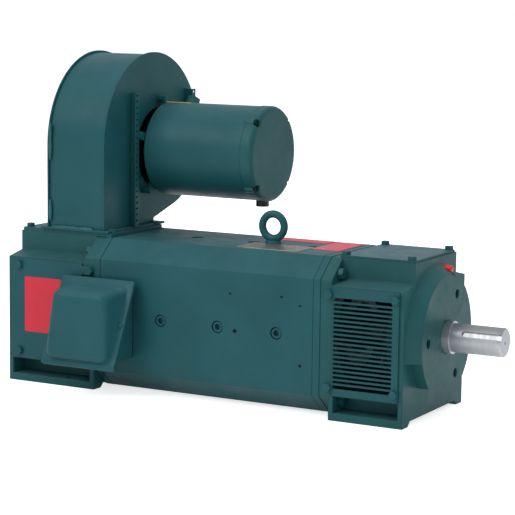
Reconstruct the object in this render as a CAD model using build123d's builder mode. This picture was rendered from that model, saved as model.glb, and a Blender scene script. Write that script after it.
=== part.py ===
from build123d import *
import os
from math import cos, hypot, radians, sin

# Foot-mounted shunt direct-current motor with a blower on its commutator end.
# Millimetres. +X runs along the shaft to the drive end, +Z is up.
# The origin is the centre of the four foot holes, on the mounting plane.

# Mounting
shaft_height = 133.35
foot_span_x = 558.8
foot_span_y = 215.9
foot_hole_d = 11.1
drive_foot_inset = 85.0
foot_pad_in = 7.95
foot_pocket_in = 12.4
foot_gap_rise = 8.0

# Lengths along the shaft
drive_bracket_l = 148.0
yoke_l = 433.5
comm_bracket_l = 177.9

# Laminated frame, eight-sided about the shaft
frame_half_w = 123.6
frame_half_h = 128.65
frame_flat_half = 84.0
frame_side_half = 95.65
frame_bore_r = 105.0

# End brackets, cast: sizes across the shaft are measured from its axis
shoulder_rise = 86.65
neck_base_rise = 94.65
flange_step = 1.0
joint_flange_t = 20.0
bracket_wall = 9.0
bracket_front_t = 12.0
bracket_throat_r = 98.0
cavity_floor_rise = 9.0
side_window_end = 18.5
side_window_low = 51.8
side_window_high = 203.0
top_window_half_w = 64.0
top_window_end = 20.0
foot_pad_t = 13.0
foot_window_top = 43.0
foot_window_end = 8.0
drive_window_back = 25.0
comm_window_back = 9.0
pocket_roof_t = 8.0

# Drive-end nose cone and its pockets
nose_base_r = 118.0
nose_face_r = 102.5
nose_l = 22.2
nose_flat_drop = 75.0
nose_pocket_drop = 30.0
hub_r = 88.0
hub_depth = 46.0
cap_screw_pcd = 152.0
cap_screw_d = 8.0
cap_head_d = 13.0
cap_head_h = 8.0
cap_recess_d = 16.0
cap_recess_depth = 12.0
rear_boss_base_r = 80.0
rear_boss_face_r = 60.0
rear_boss_l = 14.0
comm_hub_r = 74.0
comm_hub_depth = 40.0

# Bearings: outer radius, bore radius, width
drive_bearing_r = 60.0
drive_bearing_bore_r = 27.5
drive_bearing_w = 29.0
comm_bearing_r = 50.0
comm_bearing_bore_r = 22.5
comm_bearing_w = 25.0
bearing_gap = 0.3
inner_ring_t = 8.0
bearing_cap_t = 8.0
shaft_seal_gap = 0.6
bearing_lip_t = 8.0
shaft_end_gap = 1.0

# Main shaft
shaft_r = 23.813
collar_r = 27.0
collar_out = 12.0
shaft_out = 122.8
shaft_body_r = 32.0
shaft_chamfer = 2.0
centre_hole_r = 3.5
centre_hole_depth = 9.0
key_w = 9.525
key_depth = 4.76
key_l = 63.0
key_turn = 151.0

# Magnets and windings inside the frame
core_comm_gap = 78.5
core_drive_gap = 25.0
air_gap = 1.8
armature_r = 70.2
slot_count = 24
slot_w = 6.0
slot_depth = 16.0
winding_gap = 0.2
end_turn_l = 42.0
end_turn_in_r = 40.0
end_turn_gap = 1.0
pole_w = 50.0
shoe_w = 84.0
shoe_t = 8.0
coil_t = 14.0
coil_h = 14.0
coil_gap = 1.0
coil_rise = 2.0
interpole_w = 14.0
interpole_trim = 10.0
interpole_coil_t = 8.0
interpole_coil_h = 18.0
pole_bolt_d = 12.0
pole_head_d = 18.0
pole_head_h = 12.0
pole_bore_d = 21.0
pole_bore_depth = 13.5
pole_socket_af = 10.0
pole_bolt_end = 54.7
pole_bolt_grip = 18.0

# Commutator and brush gear
comm_r = 52.0
comm_l = 78.0
comm_core_gap = 12.0
riser_r = 60.0
riser_l = 8.0
brush_w = 12.5
brush_l = 25.0
brush_h = 32.0
brush_gap = 0.3
brush_fit = 0.1
brush_from_riser = 50.0
box_wall = 2.5
box_lift = 4.0
box_h = 26.0
stud_r = 5.0
stud_offset = 16.0
stud_reach = 78.0
clamp_h = 15.0
clamp_over = 7.5
rocker_r = 94.0
rocker_t = 10.0
rocker_bore_r = 58.0
rocker_gap = 24.0

# Covers and fasteners on the brackets
panel_t = 3.0
panel_low = 41.3
panel_high = 218.7
panel_end = 8.0
panel_flange_gap = 3.5
panel_ear_r = 7.5
panel_bolt_low = 55.0
panel_bolt_high = 207.0
drive_panel_bolt_end = 14.0
comm_panel_bolt_end = 23.8
drive_panel_bolt_back = 17.0
comm_panel_bolt_back = 8.0
louvre_count = 20
louvre_low = 53.6
louvre_high = 202.0
louvre_end = 19.5
louvre_face = 3.2
louvre_depth = 6.0
louvre_drop = 1.6
louvre_rim = 2.0
cover_t = 3.5
cover_half_w = 83.0
cover_end = 2.0
cover_lap = 6.0
cover_round = 3.0
cover_bolt_y = 75.0
cover_bolt_end = 8.0
hex_small_af = 13.0
hex_small_h = 6.0
hex_big_af = 17.0
hex_big_h = 9.0
bracket_bolt_y = 95.0
bracket_bolt_rise = 103.5
bracket_bolt_d = 10.0
bracket_bolt_grip = 34.0
plug_y = 23.5
plug_rise = 108.0
plug_r = 6.5
plug_l = 9.0
plug_recess_r = 11.0
eye_from_core = 37.6
eye_ring_r = 20.75
eye_wire_r = 6.5
eye_rise = 30.0
eye_shoulder_r = 14.0
eye_shoulder_h = 6.0
eye_shank_r = 8.0
eye_shank_l = 18.0

# Terminal box: a wedge with a sloping joint, and a drawn cover
tbox_from_joint = 18.4
tbox_l = 146.0
joint_top_out = 11.4
joint_top_z = 197.7
joint_low_out = 79.0
joint_low_z = 54.6
lip_t = 3.0
lip_w = 12.0
base_wall = 4.0
gasket_t = 2.0
cover_sheet = 2.0
pan_out = 87.5
pan_top_z = 181.0
pan_low_z = 65.0
pan_corner_r = 12.0
conduit_r = 22.0
lead_hole_r = 20.0
lead_from_joint = 35.0
gasket_clear = 10.0
strip_l = 84.0
strip_h = 14.0
strip_t = 10.0
strip_posts = 6
strip_post_r = 2.5
strip_post_h = 7.0
pan_rim_r = 8.0
box_screw_r = 4.0
box_screw_h = 3.5

# Blower: scroll outline in the plane across the shaft
scroll_left = -84.0
scroll_big_r = 161.0
scroll_small_r = 120.0
scroll_mid_z = 415.0
scroll_turn = 74.0
cutoff_y = 80.0
scroll_face_out = -5.5
scroll_w = 118.0
plate_t = 2.5
wrap_t = 2.0
wrap_inset = 4.0
adapter_t = 6.0
adapter_front = 9.5
adapter_back = 4.0
adapter_bolt_y = 72.0
adapter_bolt_end = 7.0
duct_edge = 8.0
base_lip_t = 4.0
base_lip_w = 11.0
bolt_clear = 1.5
lip_near_w = 4.0
lip_far_w = 20.0
blower_y = 95.0
blower_z = 405.0
inlet_r = 72.0
inlet_ring_t = 3.0
inlet_ring_l = 14.0
inlet_ring_flare = 8.0
rail_low_y = 4.0
rail_depth = 16.0
rail_flange = 12.0
rail_t = 2.0
rail_top_z = 507.0
rail_far_low_z = 330.0
rail_slot_pitch = 10.4
rail_slot_w = 6.0
rail_slot_h = 3.2

# Blower wheel
wheel_r = 100.0
wheel_in_r = 82.0
wheel_w = 80.0
wheel_back_gap = 14.0
blade_count = 24
blade_t = 1.2
blade_bow = 3.5
wheel_plate_t = 2.0
wheel_hub_r = 16.0
wheel_hub_l = 34.0
blade_lean = 14.0

# Blower motor
stand_off = 18.0
spider_t = 6.0
spider_r = 62.0
spider_legs = 5
leg_r = 7.0
leg_reach = 88.0
spider_bore_r = 12.0
shell_r = 82.5
shell_t = 3.0
shell_l = 194.0
bell_r = 83.5
bell_l = 23.0
bell_round = 8.5
bell_wall = 5.0
bell_seat_r = 22.0
front_bell_t = 9.0
front_bell_round = 5.0
lug_r = 7.0
lug_reach = 80.0
lug_l = 16.0
lug_screw_r = 3.5
lug_screw_h = 3.0
fan_shaft_r = 8.0
stator_in_r = 46.0
stator_l = 90.0
fan_rotor_gap = 0.6
fan_bearing_r = 18.0
fan_bearing_w = 12.0
fan_ring_t = 4.0
drain_r = 11.5
drain_l = 9.0
drain_from_end = 21.0
outlet_turn = 50.0
outlet_r = 13.0
outlet_rise = 28.0
outlet_from_front = 14.0
outlet_nut_af = 22.0
outlet_nut_l = 8.0

# Places worked out from the sizes above
drive_face_x = foot_span_x / 2 + drive_foot_inset
drive_joint_x = drive_face_x - drive_bracket_l
comm_joint_x = drive_joint_x - yoke_l
comm_face_x = comm_joint_x - comm_bracket_l
frame_top_z = shaft_height + frame_half_h
bracket_half_w = frame_half_w - flange_step
foot_pad_w = bracket_half_w - foot_span_y / 2 + foot_pad_in
foot_pocket_depth = bracket_half_w - bracket_bolt_y + foot_pocket_in
core_l = yoke_l - core_drive_gap - core_comm_gap
tbox_x = comm_joint_x + tbox_from_joint
core_end_x = drive_joint_x - core_drive_gap
core_start_x = core_end_x - core_l
core_mid_x = (core_start_x + core_end_x) / 2
pole_bolt_pitch = core_l / 2 - pole_bolt_end
eye_x = core_mid_x + eye_from_core
pole_face_r = armature_r + air_gap
shoe_r = pole_face_r + shoe_t
coil_r = shoe_r + coil_rise
comm_start_x = core_start_x - end_turn_l - comm_core_gap
brush_x = comm_start_x - riser_l - brush_from_riser
rocker_x = brush_x - brush_l / 2 - rocker_gap
drive_bearing_x = drive_face_x - bearing_lip_t
comm_bearing_x = comm_face_x + bracket_front_t
shaft_end_x = drive_face_x + shaft_out
collar_end_x = drive_face_x + nose_l + collar_out
shaft_axis = Axis((0, 0, shaft_height), (1, 0, 0))
scroll_face_x = comm_joint_x + scroll_face_out
scroll_back_x = scroll_face_x - scroll_w
adapter_top_z = frame_top_z + adapter_t
scroll_base_z = adapter_top_z + base_lip_t
big_arc_y = scroll_left + scroll_big_r
small_arc_y = big_arc_y + scroll_big_r - scroll_small_r
spider_x = scroll_face_x + stand_off - spider_t
shell_x = scroll_face_x + stand_off
shell_end_x = shell_x + shell_l
rail_high_y = 2 * blower_y - rail_low_y
wheel_x = scroll_back_x + plate_t + wheel_back_gap
gasket_y = -frame_half_w - gasket_t
joint_top = (-frame_half_w - joint_top_out, joint_top_z)
joint_low = (-frame_half_w - joint_low_out, joint_low_z)
joint_slope = hypot(joint_top[0] - joint_low[0], joint_top[1] - joint_low[1])
up_slope = Vector(0, joint_top[0] - joint_low[0], joint_top[1] - joint_low[1]).normalized()
joint_out = Vector(0, -up_slope.Z, up_slope.Y)
joint_mid = Vector(tbox_x, (joint_top[0] + joint_low[0]) / 2, (joint_top[1] + joint_low[1]) / 2)
joint_plane = Plane(origin=joint_mid, x_dir=(1, 0, 0), z_dir=joint_out)
yoke_sides = [(0, frame_half_w), (90, frame_half_h), (180, frame_half_w), (270, frame_half_h)]


def shaft_plane(x):
    """Plane across the main shaft, centred on its axis, facing the drive end."""
    return Plane(origin=(x, 0, shaft_height), x_dir=(0, 1, 0), z_dir=(1, 0, 0))


def end_plane(x, outward):
    """Plane across the main shaft that faces outward: 1 at the drive end, -1 at the other."""
    return Plane(origin=(x, 0, shaft_height), x_dir=(0, outward, 0), z_dir=(outward, 0, 0))


def blower_plane(x):
    """Plane across the blower shaft, centred on its axis, facing the drive end."""
    return Plane(origin=(x, blower_y, blower_z), x_dir=(0, 1, 0), z_dir=(1, 0, 0))


def radial_plane(x, turn, reach):
    """Plane square to a radius of the main shaft; turn is counted from +Y towards +Z."""
    out = Vector(0, cos(radians(turn)), sin(radians(turn)))
    return Plane(origin=Vector(x, 0, shaft_height) + out * reach, x_dir=(1, 0, 0), z_dir=out)


def frame_corners(shrink):
    """Corners of the eight-sided frame about the shaft, with each face moved in by shrink."""
    slope = hypot(frame_half_w - frame_flat_half, frame_half_h - frame_side_half)
    lean_y = (frame_half_h - frame_side_half) / slope
    lean_z = (frame_half_w - frame_flat_half) / slope
    flat = frame_flat_half - shrink * (1 - lean_z) / lean_y
    side = frame_side_half - shrink * (1 - lean_y) / lean_z
    wide = frame_half_w - shrink
    high = frame_half_h - shrink
    right = [(flat, -high), (wide, -side), (wide, side), (flat, high)]
    return right + [(-y, -z) for y, z in right]


def mirrored(points):
    """The points and their mirror images in the middle plane, in order round the outline."""
    return points + [(-y, z) for y, z in reversed(points)]


def on_joint(down):
    """Point of the sloping joint, as (y, z), this far down from its top edge."""
    return (joint_top[0] - up_slope.Y * down, joint_top[1] - up_slope.Z * down)


def body_outline():
    """Half of a bracket's section outside the frame joint, from the floor to the neck's top."""
    pad_edge = bracket_half_w - foot_pad_w
    return [
        (pad_edge - foot_gap_rise, foot_gap_rise - shaft_height),
        (pad_edge, -shaft_height),
        (bracket_half_w, -shaft_height),
        (bracket_half_w, shoulder_rise),
        (frame_flat_half, neck_base_rise),
        (frame_flat_half, frame_half_h),
    ]


def feet_outline():
    """Half of the section of a bracket's foot block, up to the roof of the foot pockets."""
    roof = foot_window_top + pocket_roof_t - shaft_height
    return body_outline()[:3] + [(bracket_half_w, roof)]


def cavity_outline():
    """Half of the hollow inside a bracket, clear of the foot pockets."""
    roof = foot_window_top + pocket_roof_t - shaft_height
    low = foot_gap_rise + cavity_floor_rise - shaft_height
    pocket_wall = bracket_half_w - foot_pocket_depth - pocket_roof_t
    side = bracket_half_w - bracket_wall
    neck = frame_flat_half - bracket_wall
    return [
        (pocket_wall, low),
        (pocket_wall, roof),
        (side, roof),
        (side, shoulder_rise - bracket_wall),
        (neck, neck_base_rise - bracket_wall),
        (neck, frame_half_h - bracket_wall),
    ]


def bracket(joint_x, outward, length, window_back, nose):
    """Cast end bracket: joint flange, body on two feet, neck, windows and foot pockets.

    nose is the base radius, face radius and length of the cone on the end face.
    """
    face_x = joint_x + outward * length
    middle_x = joint_x + outward * (window_back + length - foot_window_end) / 2
    window_l = length - foot_window_end - window_back
    cavity_back = joint_flange_t + panel_flange_gap
    side_l = length - side_window_end - cavity_back
    side_x = joint_x + outward * (cavity_back + side_l / 2)
    top_x = joint_x + outward * (length + joint_flange_t) / 2
    with BuildPart() as piece:
        with BuildSketch(end_plane(joint_x, outward)):
            Polygon(*frame_corners(flange_step), align=None)
        extrude(amount=joint_flange_t)
        with BuildSketch(end_plane(joint_x, outward).offset(joint_flange_t)):
            Polygon(*mirrored(body_outline()), align=None)
        extrude(amount=length - joint_flange_t)
        with BuildSketch(end_plane(joint_x, outward).offset(window_back - foot_window_end)):
            Polygon(*mirrored(feet_outline()), align=None)
        extrude(amount=length - window_back + foot_window_end)
        with BuildSketch(end_plane(joint_x, outward).offset(joint_flange_t)):
            Polygon(*mirrored(cavity_outline()), align=None)
        extrude(amount=length - joint_flange_t - bracket_front_t, mode=Mode.SUBTRACT)
        with BuildSketch(end_plane(joint_x, outward)):
            Circle(bracket_throat_r)
        extrude(amount=joint_flange_t, mode=Mode.SUBTRACT)
        with BuildSketch(Plane.XZ.offset(bracket_half_w)):
            with Locations((side_x, (side_window_low + side_window_high) / 2)):
                Rectangle(side_l, side_window_high - side_window_low)
        extrude(amount=-2 * bracket_half_w, mode=Mode.SUBTRACT)
        with BuildSketch(Plane.XY.offset(frame_top_z)):
            with Locations((top_x, 0)):
                Rectangle(length - joint_flange_t - 2 * top_window_end, 2 * top_window_half_w)
        extrude(amount=-2 * bracket_wall, mode=Mode.SUBTRACT)
        for side in (-1, 1):
            with BuildSketch(Plane.XY.offset(foot_pad_t)):
                with Locations((middle_x, side * (bracket_half_w - foot_pocket_depth / 2))):
                    Rectangle(window_l, foot_pocket_depth)
            extrude(amount=foot_window_top - foot_pad_t, mode=Mode.SUBTRACT)
            with BuildSketch(Plane.XY):
                with Locations((outward * foot_span_x / 2, side * foot_span_y / 2)):
                    Circle(foot_hole_d / 2)
            extrude(amount=foot_pad_t, mode=Mode.SUBTRACT)
        with BuildSketch(Plane.XZ):
            with BuildLine():
                Polyline(
                    (face_x, shaft_height),
                    (face_x, shaft_height + nose[0]),
                    (face_x + outward * nose[2], shaft_height + nose[1]),
                    (face_x + outward * nose[2], shaft_height),
                    close=True,
                )
            make_face()
        revolve(axis=shaft_axis)
        for side in (-1, 1):
            for rise in (-bracket_bolt_rise, bracket_bolt_rise):
                with BuildSketch(end_plane(joint_x, outward)):
                    with Locations((side * bracket_bolt_y, rise)):
                        Circle(bracket_bolt_d / 2)
                extrude(amount=max(joint_flange_t, window_back), mode=Mode.SUBTRACT)
    return piece


back_high = on_joint(lip_w)[1]
back_low = on_joint(joint_slope - lip_w)[1]
back_mid = (back_high + back_low) / 2
back_l = tbox_l - 2 * lip_w
lead_x = comm_joint_x + lead_from_joint
conduit_y = (gasket_y + on_joint(joint_slope - lip_w)[0]) / 2

# Laminated frame with counterbored pole bolt holes
with BuildPart() as yoke_frame:
    with BuildSketch(shaft_plane(comm_joint_x)):
        Polygon(*frame_corners(0), align=None)
        Circle(frame_bore_r, mode=Mode.SUBTRACT)
        for side in (-1, 1):
            for rise in (-bracket_bolt_rise, bracket_bolt_rise):
                with Locations((side * bracket_bolt_y, rise)):
                    Circle(bracket_bolt_d / 2, mode=Mode.SUBTRACT)
    extrude(amount=yoke_l)
    for turn, reach in yoke_sides:
        with BuildSketch(radial_plane(core_mid_x, turn, reach)):
            with GridLocations(pole_bolt_pitch, 0, 3, 1):
                Circle(pole_bore_d / 2)
        extrude(amount=-pole_bore_depth, mode=Mode.SUBTRACT)
        with BuildSketch(radial_plane(core_mid_x, turn, reach)):
            with GridLocations(pole_bolt_pitch, 0, 3, 1):
                Circle(pole_bolt_d / 2)
        extrude(amount=frame_bore_r / 2 - reach, mode=Mode.SUBTRACT)
    with BuildSketch(Plane.XZ.offset(frame_half_w)):
        with Locations((lead_x, back_mid)):
            Circle(lead_hole_r)
    extrude(amount=-frame_half_w, mode=Mode.SUBTRACT)
    with BuildSketch(Plane.XY.offset(frame_top_z)):
        with Locations((eye_x, 0)):
            Circle(eye_shank_r)
    extrude(amount=-eye_shank_l, mode=Mode.SUBTRACT)
yoke_frame.part.label = "yoke_frame"
export_step(yoke_frame.part, "parts/yoke_frame.step")

# Main poles with their shoes, bolted to the bore of the frame
with BuildPart() as main_poles:
    with BuildSketch(shaft_plane(core_start_x)):
        Rectangle(2 * frame_bore_r, pole_w)
        Rectangle(pole_w, 2 * frame_bore_r)
        Circle(frame_bore_r, mode=Mode.INTERSECT)
        Circle(pole_face_r, mode=Mode.SUBTRACT)
    extrude(amount=core_l)
    with BuildSketch(shaft_plane(core_start_x)):
        Rectangle(2 * shoe_r, shoe_w)
        Rectangle(shoe_w, 2 * shoe_r)
        Circle(shoe_r, mode=Mode.INTERSECT)
        Circle(pole_face_r, mode=Mode.SUBTRACT)
    extrude(amount=core_l)
    for turn, reach in yoke_sides:
        with BuildSketch(radial_plane(core_mid_x, turn, frame_bore_r)):
            with GridLocations(pole_bolt_pitch, 0, 3, 1):
                Circle(pole_bolt_d / 2)
        extrude(amount=-pole_bolt_grip, mode=Mode.SUBTRACT)
main_poles.part.label = "main_poles"
export_step(main_poles.part, "parts/main_poles.step")

# Shunt field coils, one racetrack round each main pole
with BuildPart() as field_coils:
    for turn, reach in yoke_sides:
        with BuildSketch(radial_plane(core_mid_x, turn, coil_r)):
            RectangleRounded(
                core_l + 2 * (coil_gap + coil_t), pole_w + 2 * (coil_gap + coil_t), coil_t
            )
            Rectangle(core_l + 2 * coil_gap, pole_w + 2 * coil_gap, mode=Mode.SUBTRACT)
        extrude(amount=coil_h)
field_coils.part.label = "field_coils"
export_step(field_coils.part, "parts/field_coils.step")

# Interpoles between the main poles, and their coils
interpole_l = core_l - 2 * interpole_trim
with BuildPart() as interpoles:
    with BuildSketch(shaft_plane(core_start_x + interpole_trim)):
        Rectangle(2 * frame_bore_r, interpole_w, rotation=45)
        Rectangle(2 * frame_bore_r, interpole_w, rotation=-45)
        Circle(frame_bore_r, mode=Mode.INTERSECT)
        Circle(pole_face_r, mode=Mode.SUBTRACT)
    extrude(amount=interpole_l)
interpoles.part.label = "interpoles"
export_step(interpoles.part, "parts/interpoles.step")

with BuildPart() as interpole_coils:
    for turn in (45, 135, 225, 315):
        with BuildSketch(radial_plane(core_mid_x, turn, shoe_r)):
            RectangleRounded(
                interpole_l + 2 * (coil_gap + interpole_coil_t),
                interpole_w + 2 * (coil_gap + interpole_coil_t),
                interpole_coil_t,
            )
            Rectangle(
                interpole_l + 2 * coil_gap, interpole_w + 2 * coil_gap, mode=Mode.SUBTRACT
            )
        extrude(amount=interpole_coil_h)
interpole_coils.part.label = "interpole_coils"
export_step(interpole_coils.part, "parts/interpole_coils.step")

# Socket-head bolts that hold the main poles
with BuildPart() as pole_bolts:
    for turn, reach in yoke_sides:
        head_base = reach - pole_bore_depth
        with BuildSketch(radial_plane(core_mid_x, turn, head_base)):
            with GridLocations(pole_bolt_pitch, 0, 3, 1):
                Circle(pole_head_d / 2)
        extrude(amount=pole_head_h)
        with BuildSketch(radial_plane(core_mid_x, turn, head_base)):
            with GridLocations(pole_bolt_pitch, 0, 3, 1):
                Circle(pole_bolt_d / 2)
        extrude(amount=frame_bore_r - pole_bolt_grip - head_base)
        with BuildSketch(radial_plane(core_mid_x, turn, head_base + pole_head_h)):
            with GridLocations(pole_bolt_pitch, 0, 3, 1):
                RegularPolygon(pole_socket_af / 2, 6, major_radius=False)
        extrude(amount=-pole_head_h / 2, mode=Mode.SUBTRACT)
pole_bolts.part.label = "pole_bolts"
export_step(pole_bolts.part, "parts/pole_bolts.step")

# Drive-end bracket: nose cone cut flat below, side pockets, bearing seat and cap screw recesses
drive_nose = (nose_base_r, nose_face_r, nose_l)
drive_base = bracket(drive_joint_x, 1, drive_bracket_l, drive_window_back, drive_nose)
with BuildPart() as drive_bracket:
    add(drive_base.part)
    with BuildSketch(shaft_plane(drive_face_x)):
        with Locations((0, -nose_pocket_drop)):
            Rectangle(2 * nose_base_r, nose_base_r, align=(Align.CENTER, Align.MAX))
        Circle(nose_face_r, mode=Mode.SUBTRACT)
    extrude(amount=nose_l, mode=Mode.SUBTRACT)
    with BuildSketch(shaft_plane(drive_face_x)):
        with Locations((0, -nose_flat_drop)):
            Rectangle(2 * nose_base_r, nose_base_r, align=(Align.CENTER, Align.MAX))
    extrude(amount=nose_l, mode=Mode.SUBTRACT)
    with BuildSketch(shaft_plane(drive_face_x - bracket_front_t)):
        Circle(hub_r)
    extrude(amount=-hub_depth + bracket_front_t)
    with BuildSketch(shaft_plane(drive_face_x - hub_depth)):
        Circle(drive_bearing_r)
    extrude(amount=drive_bearing_x - drive_face_x + hub_depth, mode=Mode.SUBTRACT)
    with BuildSketch(shaft_plane(drive_bearing_x)):
        Circle(collar_r + shaft_seal_gap)
    extrude(amount=hub_depth, mode=Mode.SUBTRACT)
    with BuildSketch(shaft_plane(drive_face_x + nose_l)):
        with PolarLocations(cap_screw_pcd / 2, 3, start_angle=60):
            Circle(cap_recess_d / 2)
    extrude(amount=-cap_recess_depth, mode=Mode.SUBTRACT)
    with BuildSketch(shaft_plane(drive_face_x + nose_l)):
        with PolarLocations(cap_screw_pcd / 2, 3, start_angle=60):
            Circle(cap_screw_d / 2)
    extrude(amount=-nose_l - hub_depth, mode=Mode.SUBTRACT)
    with BuildSketch(shaft_plane(drive_face_x)):
        with Locations((plug_y, plug_rise)):
            Circle(plug_recess_r)
    extrude(amount=nose_l, mode=Mode.SUBTRACT)
    with BuildSketch(shaft_plane(drive_face_x)):
        with Locations((plug_y, plug_rise)):
            Circle(plug_r / 2)
    extrude(amount=-bracket_front_t, mode=Mode.SUBTRACT)
drive_bracket.part.label = "drive_bracket"
export_step(drive_bracket.part, "parts/drive_bracket.step")

# Commutator-end bracket: shallow boss over the bearing, hub inside for bearing and rocker
comm_nose = (rear_boss_base_r, rear_boss_face_r, rear_boss_l)
comm_base = bracket(comm_joint_x, -1, comm_bracket_l, comm_window_back, comm_nose)
with BuildPart() as comm_bracket:
    add(comm_base.part)
    with BuildSketch(shaft_plane(comm_face_x + bracket_front_t)):
        Circle(comm_hub_r)
    extrude(amount=comm_hub_depth - bracket_front_t)
    with BuildSketch(shaft_plane(comm_face_x + comm_hub_depth)):
        Circle(rocker_bore_r)
    extrude(amount=rocker_x - comm_face_x - comm_hub_depth)
    with BuildSketch(shaft_plane(comm_face_x + bracket_front_t)):
        Circle(comm_bearing_r)
    extrude(amount=comm_bracket_l, mode=Mode.SUBTRACT)
comm_bracket.part.label = "comm_bracket"
export_step(comm_bracket.part, "parts/comm_bracket.step")

# Bearings: sealed outer rings in the brackets, inner rings on the shaft
drive_seat = (drive_bearing_x - drive_bearing_w, drive_bearing_w)
comm_seat = (comm_bearing_x, comm_bearing_w)
with BuildPart() as drive_bearing_outer:
    with BuildSketch(shaft_plane(drive_seat[0])):
        Circle(drive_bearing_r)
        Circle(drive_bearing_bore_r + inner_ring_t + bearing_gap, mode=Mode.SUBTRACT)
    extrude(amount=drive_seat[1])
drive_bearing_outer.part.label = "drive_bearing_outer"
export_step(drive_bearing_outer.part, "parts/drive_bearing_outer.step")

with BuildPart() as drive_bearing_inner:
    with BuildSketch(shaft_plane(drive_seat[0])):
        Circle(drive_bearing_bore_r + inner_ring_t)
        Circle(drive_bearing_bore_r, mode=Mode.SUBTRACT)
    extrude(amount=drive_seat[1])
drive_bearing_inner.part.label = "drive_bearing_inner"
export_step(drive_bearing_inner.part, "parts/drive_bearing_inner.step")

with BuildPart() as comm_bearing_outer:
    with BuildSketch(shaft_plane(comm_seat[0])):
        Circle(comm_bearing_r)
        Circle(comm_bearing_bore_r + inner_ring_t + bearing_gap, mode=Mode.SUBTRACT)
    extrude(amount=comm_seat[1])
comm_bearing_outer.part.label = "comm_bearing_outer"
export_step(comm_bearing_outer.part, "parts/comm_bearing_outer.step")

with BuildPart() as comm_bearing_inner:
    with BuildSketch(shaft_plane(comm_seat[0])):
        Circle(comm_bearing_bore_r + inner_ring_t)
        Circle(comm_bearing_bore_r, mode=Mode.SUBTRACT)
    extrude(amount=comm_seat[1])
comm_bearing_inner.part.label = "comm_bearing_inner"
export_step(comm_bearing_inner.part, "parts/comm_bearing_inner.step")

# Inner cap that holds the drive-end bearing, and the three cap screws through the nose
cap_x = drive_face_x - hub_depth
with BuildPart() as bearing_cap:
    with BuildSketch(shaft_plane(cap_x - bearing_cap_t)):
        Circle(hub_r)
        Circle(shaft_body_r + shaft_seal_gap, mode=Mode.SUBTRACT)
        with PolarLocations(cap_screw_pcd / 2, 3, start_angle=60):
            Circle(cap_screw_d / 2, mode=Mode.SUBTRACT)
    extrude(amount=bearing_cap_t)
    with BuildSketch(shaft_plane(cap_x)):
        Circle(drive_bearing_r)
        Circle(drive_bearing_bore_r + inner_ring_t + 2 * bearing_gap, mode=Mode.SUBTRACT)
    extrude(amount=drive_seat[0] - cap_x)
bearing_cap.part.label = "bearing_cap"
export_step(bearing_cap.part, "parts/bearing_cap.step")

screw_seat_x = drive_face_x + nose_l - cap_recess_depth
with BuildPart() as cap_screws:
    with BuildSketch(shaft_plane(screw_seat_x)):
        with PolarLocations(cap_screw_pcd / 2, 3, start_angle=60):
            Circle(cap_head_d / 2)
    extrude(amount=cap_head_h)
    with BuildSketch(shaft_plane(screw_seat_x)):
        with PolarLocations(cap_screw_pcd / 2, 3, start_angle=60):
            Circle(cap_screw_d / 2)
    extrude(amount=cap_x - bearing_cap_t - screw_seat_x)
    with BuildSketch(shaft_plane(screw_seat_x + cap_head_h)):
        with PolarLocations(cap_screw_pcd / 2, 3, start_angle=60):
            RegularPolygon(cap_head_d / 4, 6, major_radius=False)
    extrude(amount=-cap_head_h / 2, mode=Mode.SUBTRACT)
cap_screws.part.label = "cap_screws"
export_step(cap_screws.part, "parts/cap_screws.step")

# Grease plug in its recess above the nose
with BuildPart() as grease_plug:
    with BuildSketch(shaft_plane(drive_face_x)):
        with Locations((plug_y, plug_rise)):
            Circle(plug_r)
    extrude(amount=plug_l)
    fillet(grease_plug.faces().sort_by(Axis.X)[-1].edges(), plug_r / 2)
    with BuildSketch(shaft_plane(drive_face_x)):
        with Locations((plug_y, plug_rise)):
            Circle(plug_r / 2)
    extrude(amount=-bracket_front_t)
grease_plug.part.label = "grease_plug"
export_step(grease_plug.part, "parts/grease_plug.step")

# Main shaft: bearing seats, body, collar, and the extension with its milled key seat
shaft_start_x = comm_bearing_x + shaft_end_gap
shaft_steps = [
    (shaft_start_x, comm_bearing_bore_r),
    (comm_seat[0] + comm_seat[1], comm_bearing_bore_r),
    (comm_seat[0] + comm_seat[1], shaft_body_r),
    (drive_seat[0], shaft_body_r),
    (drive_seat[0], drive_bearing_bore_r),
    (drive_seat[0] + drive_seat[1], drive_bearing_bore_r),
    (drive_seat[0] + drive_seat[1], collar_r),
    (collar_end_x, collar_r),
    (collar_end_x, shaft_r),
    (shaft_end_x - shaft_chamfer, shaft_r),
    (shaft_end_x, shaft_r - shaft_chamfer),
    (shaft_end_x, centre_hole_r),
    (shaft_end_x - centre_hole_depth, 0),
    (shaft_start_x, 0),
]
with BuildPart() as motor_shaft:
    with BuildSketch(Plane.XZ):
        with BuildLine():
            Polyline(*[(x, shaft_height + r) for x, r in shaft_steps], close=True)
        make_face()
    revolve(axis=shaft_axis)
    with BuildSketch(radial_plane(shaft_end_x, key_turn, shaft_r)):
        with Locations((-key_l, 0)):
            Circle(key_w / 2)
        with Locations((-key_l / 2, 0)):
            Rectangle(key_l, key_w)
    extrude(amount=-key_depth, mode=Mode.SUBTRACT)
motor_shaft.part.label = "motor_shaft"
export_step(motor_shaft.part, "parts/motor_shaft.step")

# Armature: slotted core, winding with its end turns, commutator with its riser
with BuildPart() as armature_core:
    with BuildSketch(shaft_plane(core_start_x)):
        Circle(armature_r)
        Circle(shaft_body_r, mode=Mode.SUBTRACT)
        with PolarLocations(armature_r, slot_count):
            Rectangle(2 * slot_depth, slot_w, mode=Mode.SUBTRACT)
    extrude(amount=core_l)
armature_core.part.label = "armature_core"
export_step(armature_core.part, "parts/armature_core.step")

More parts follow.
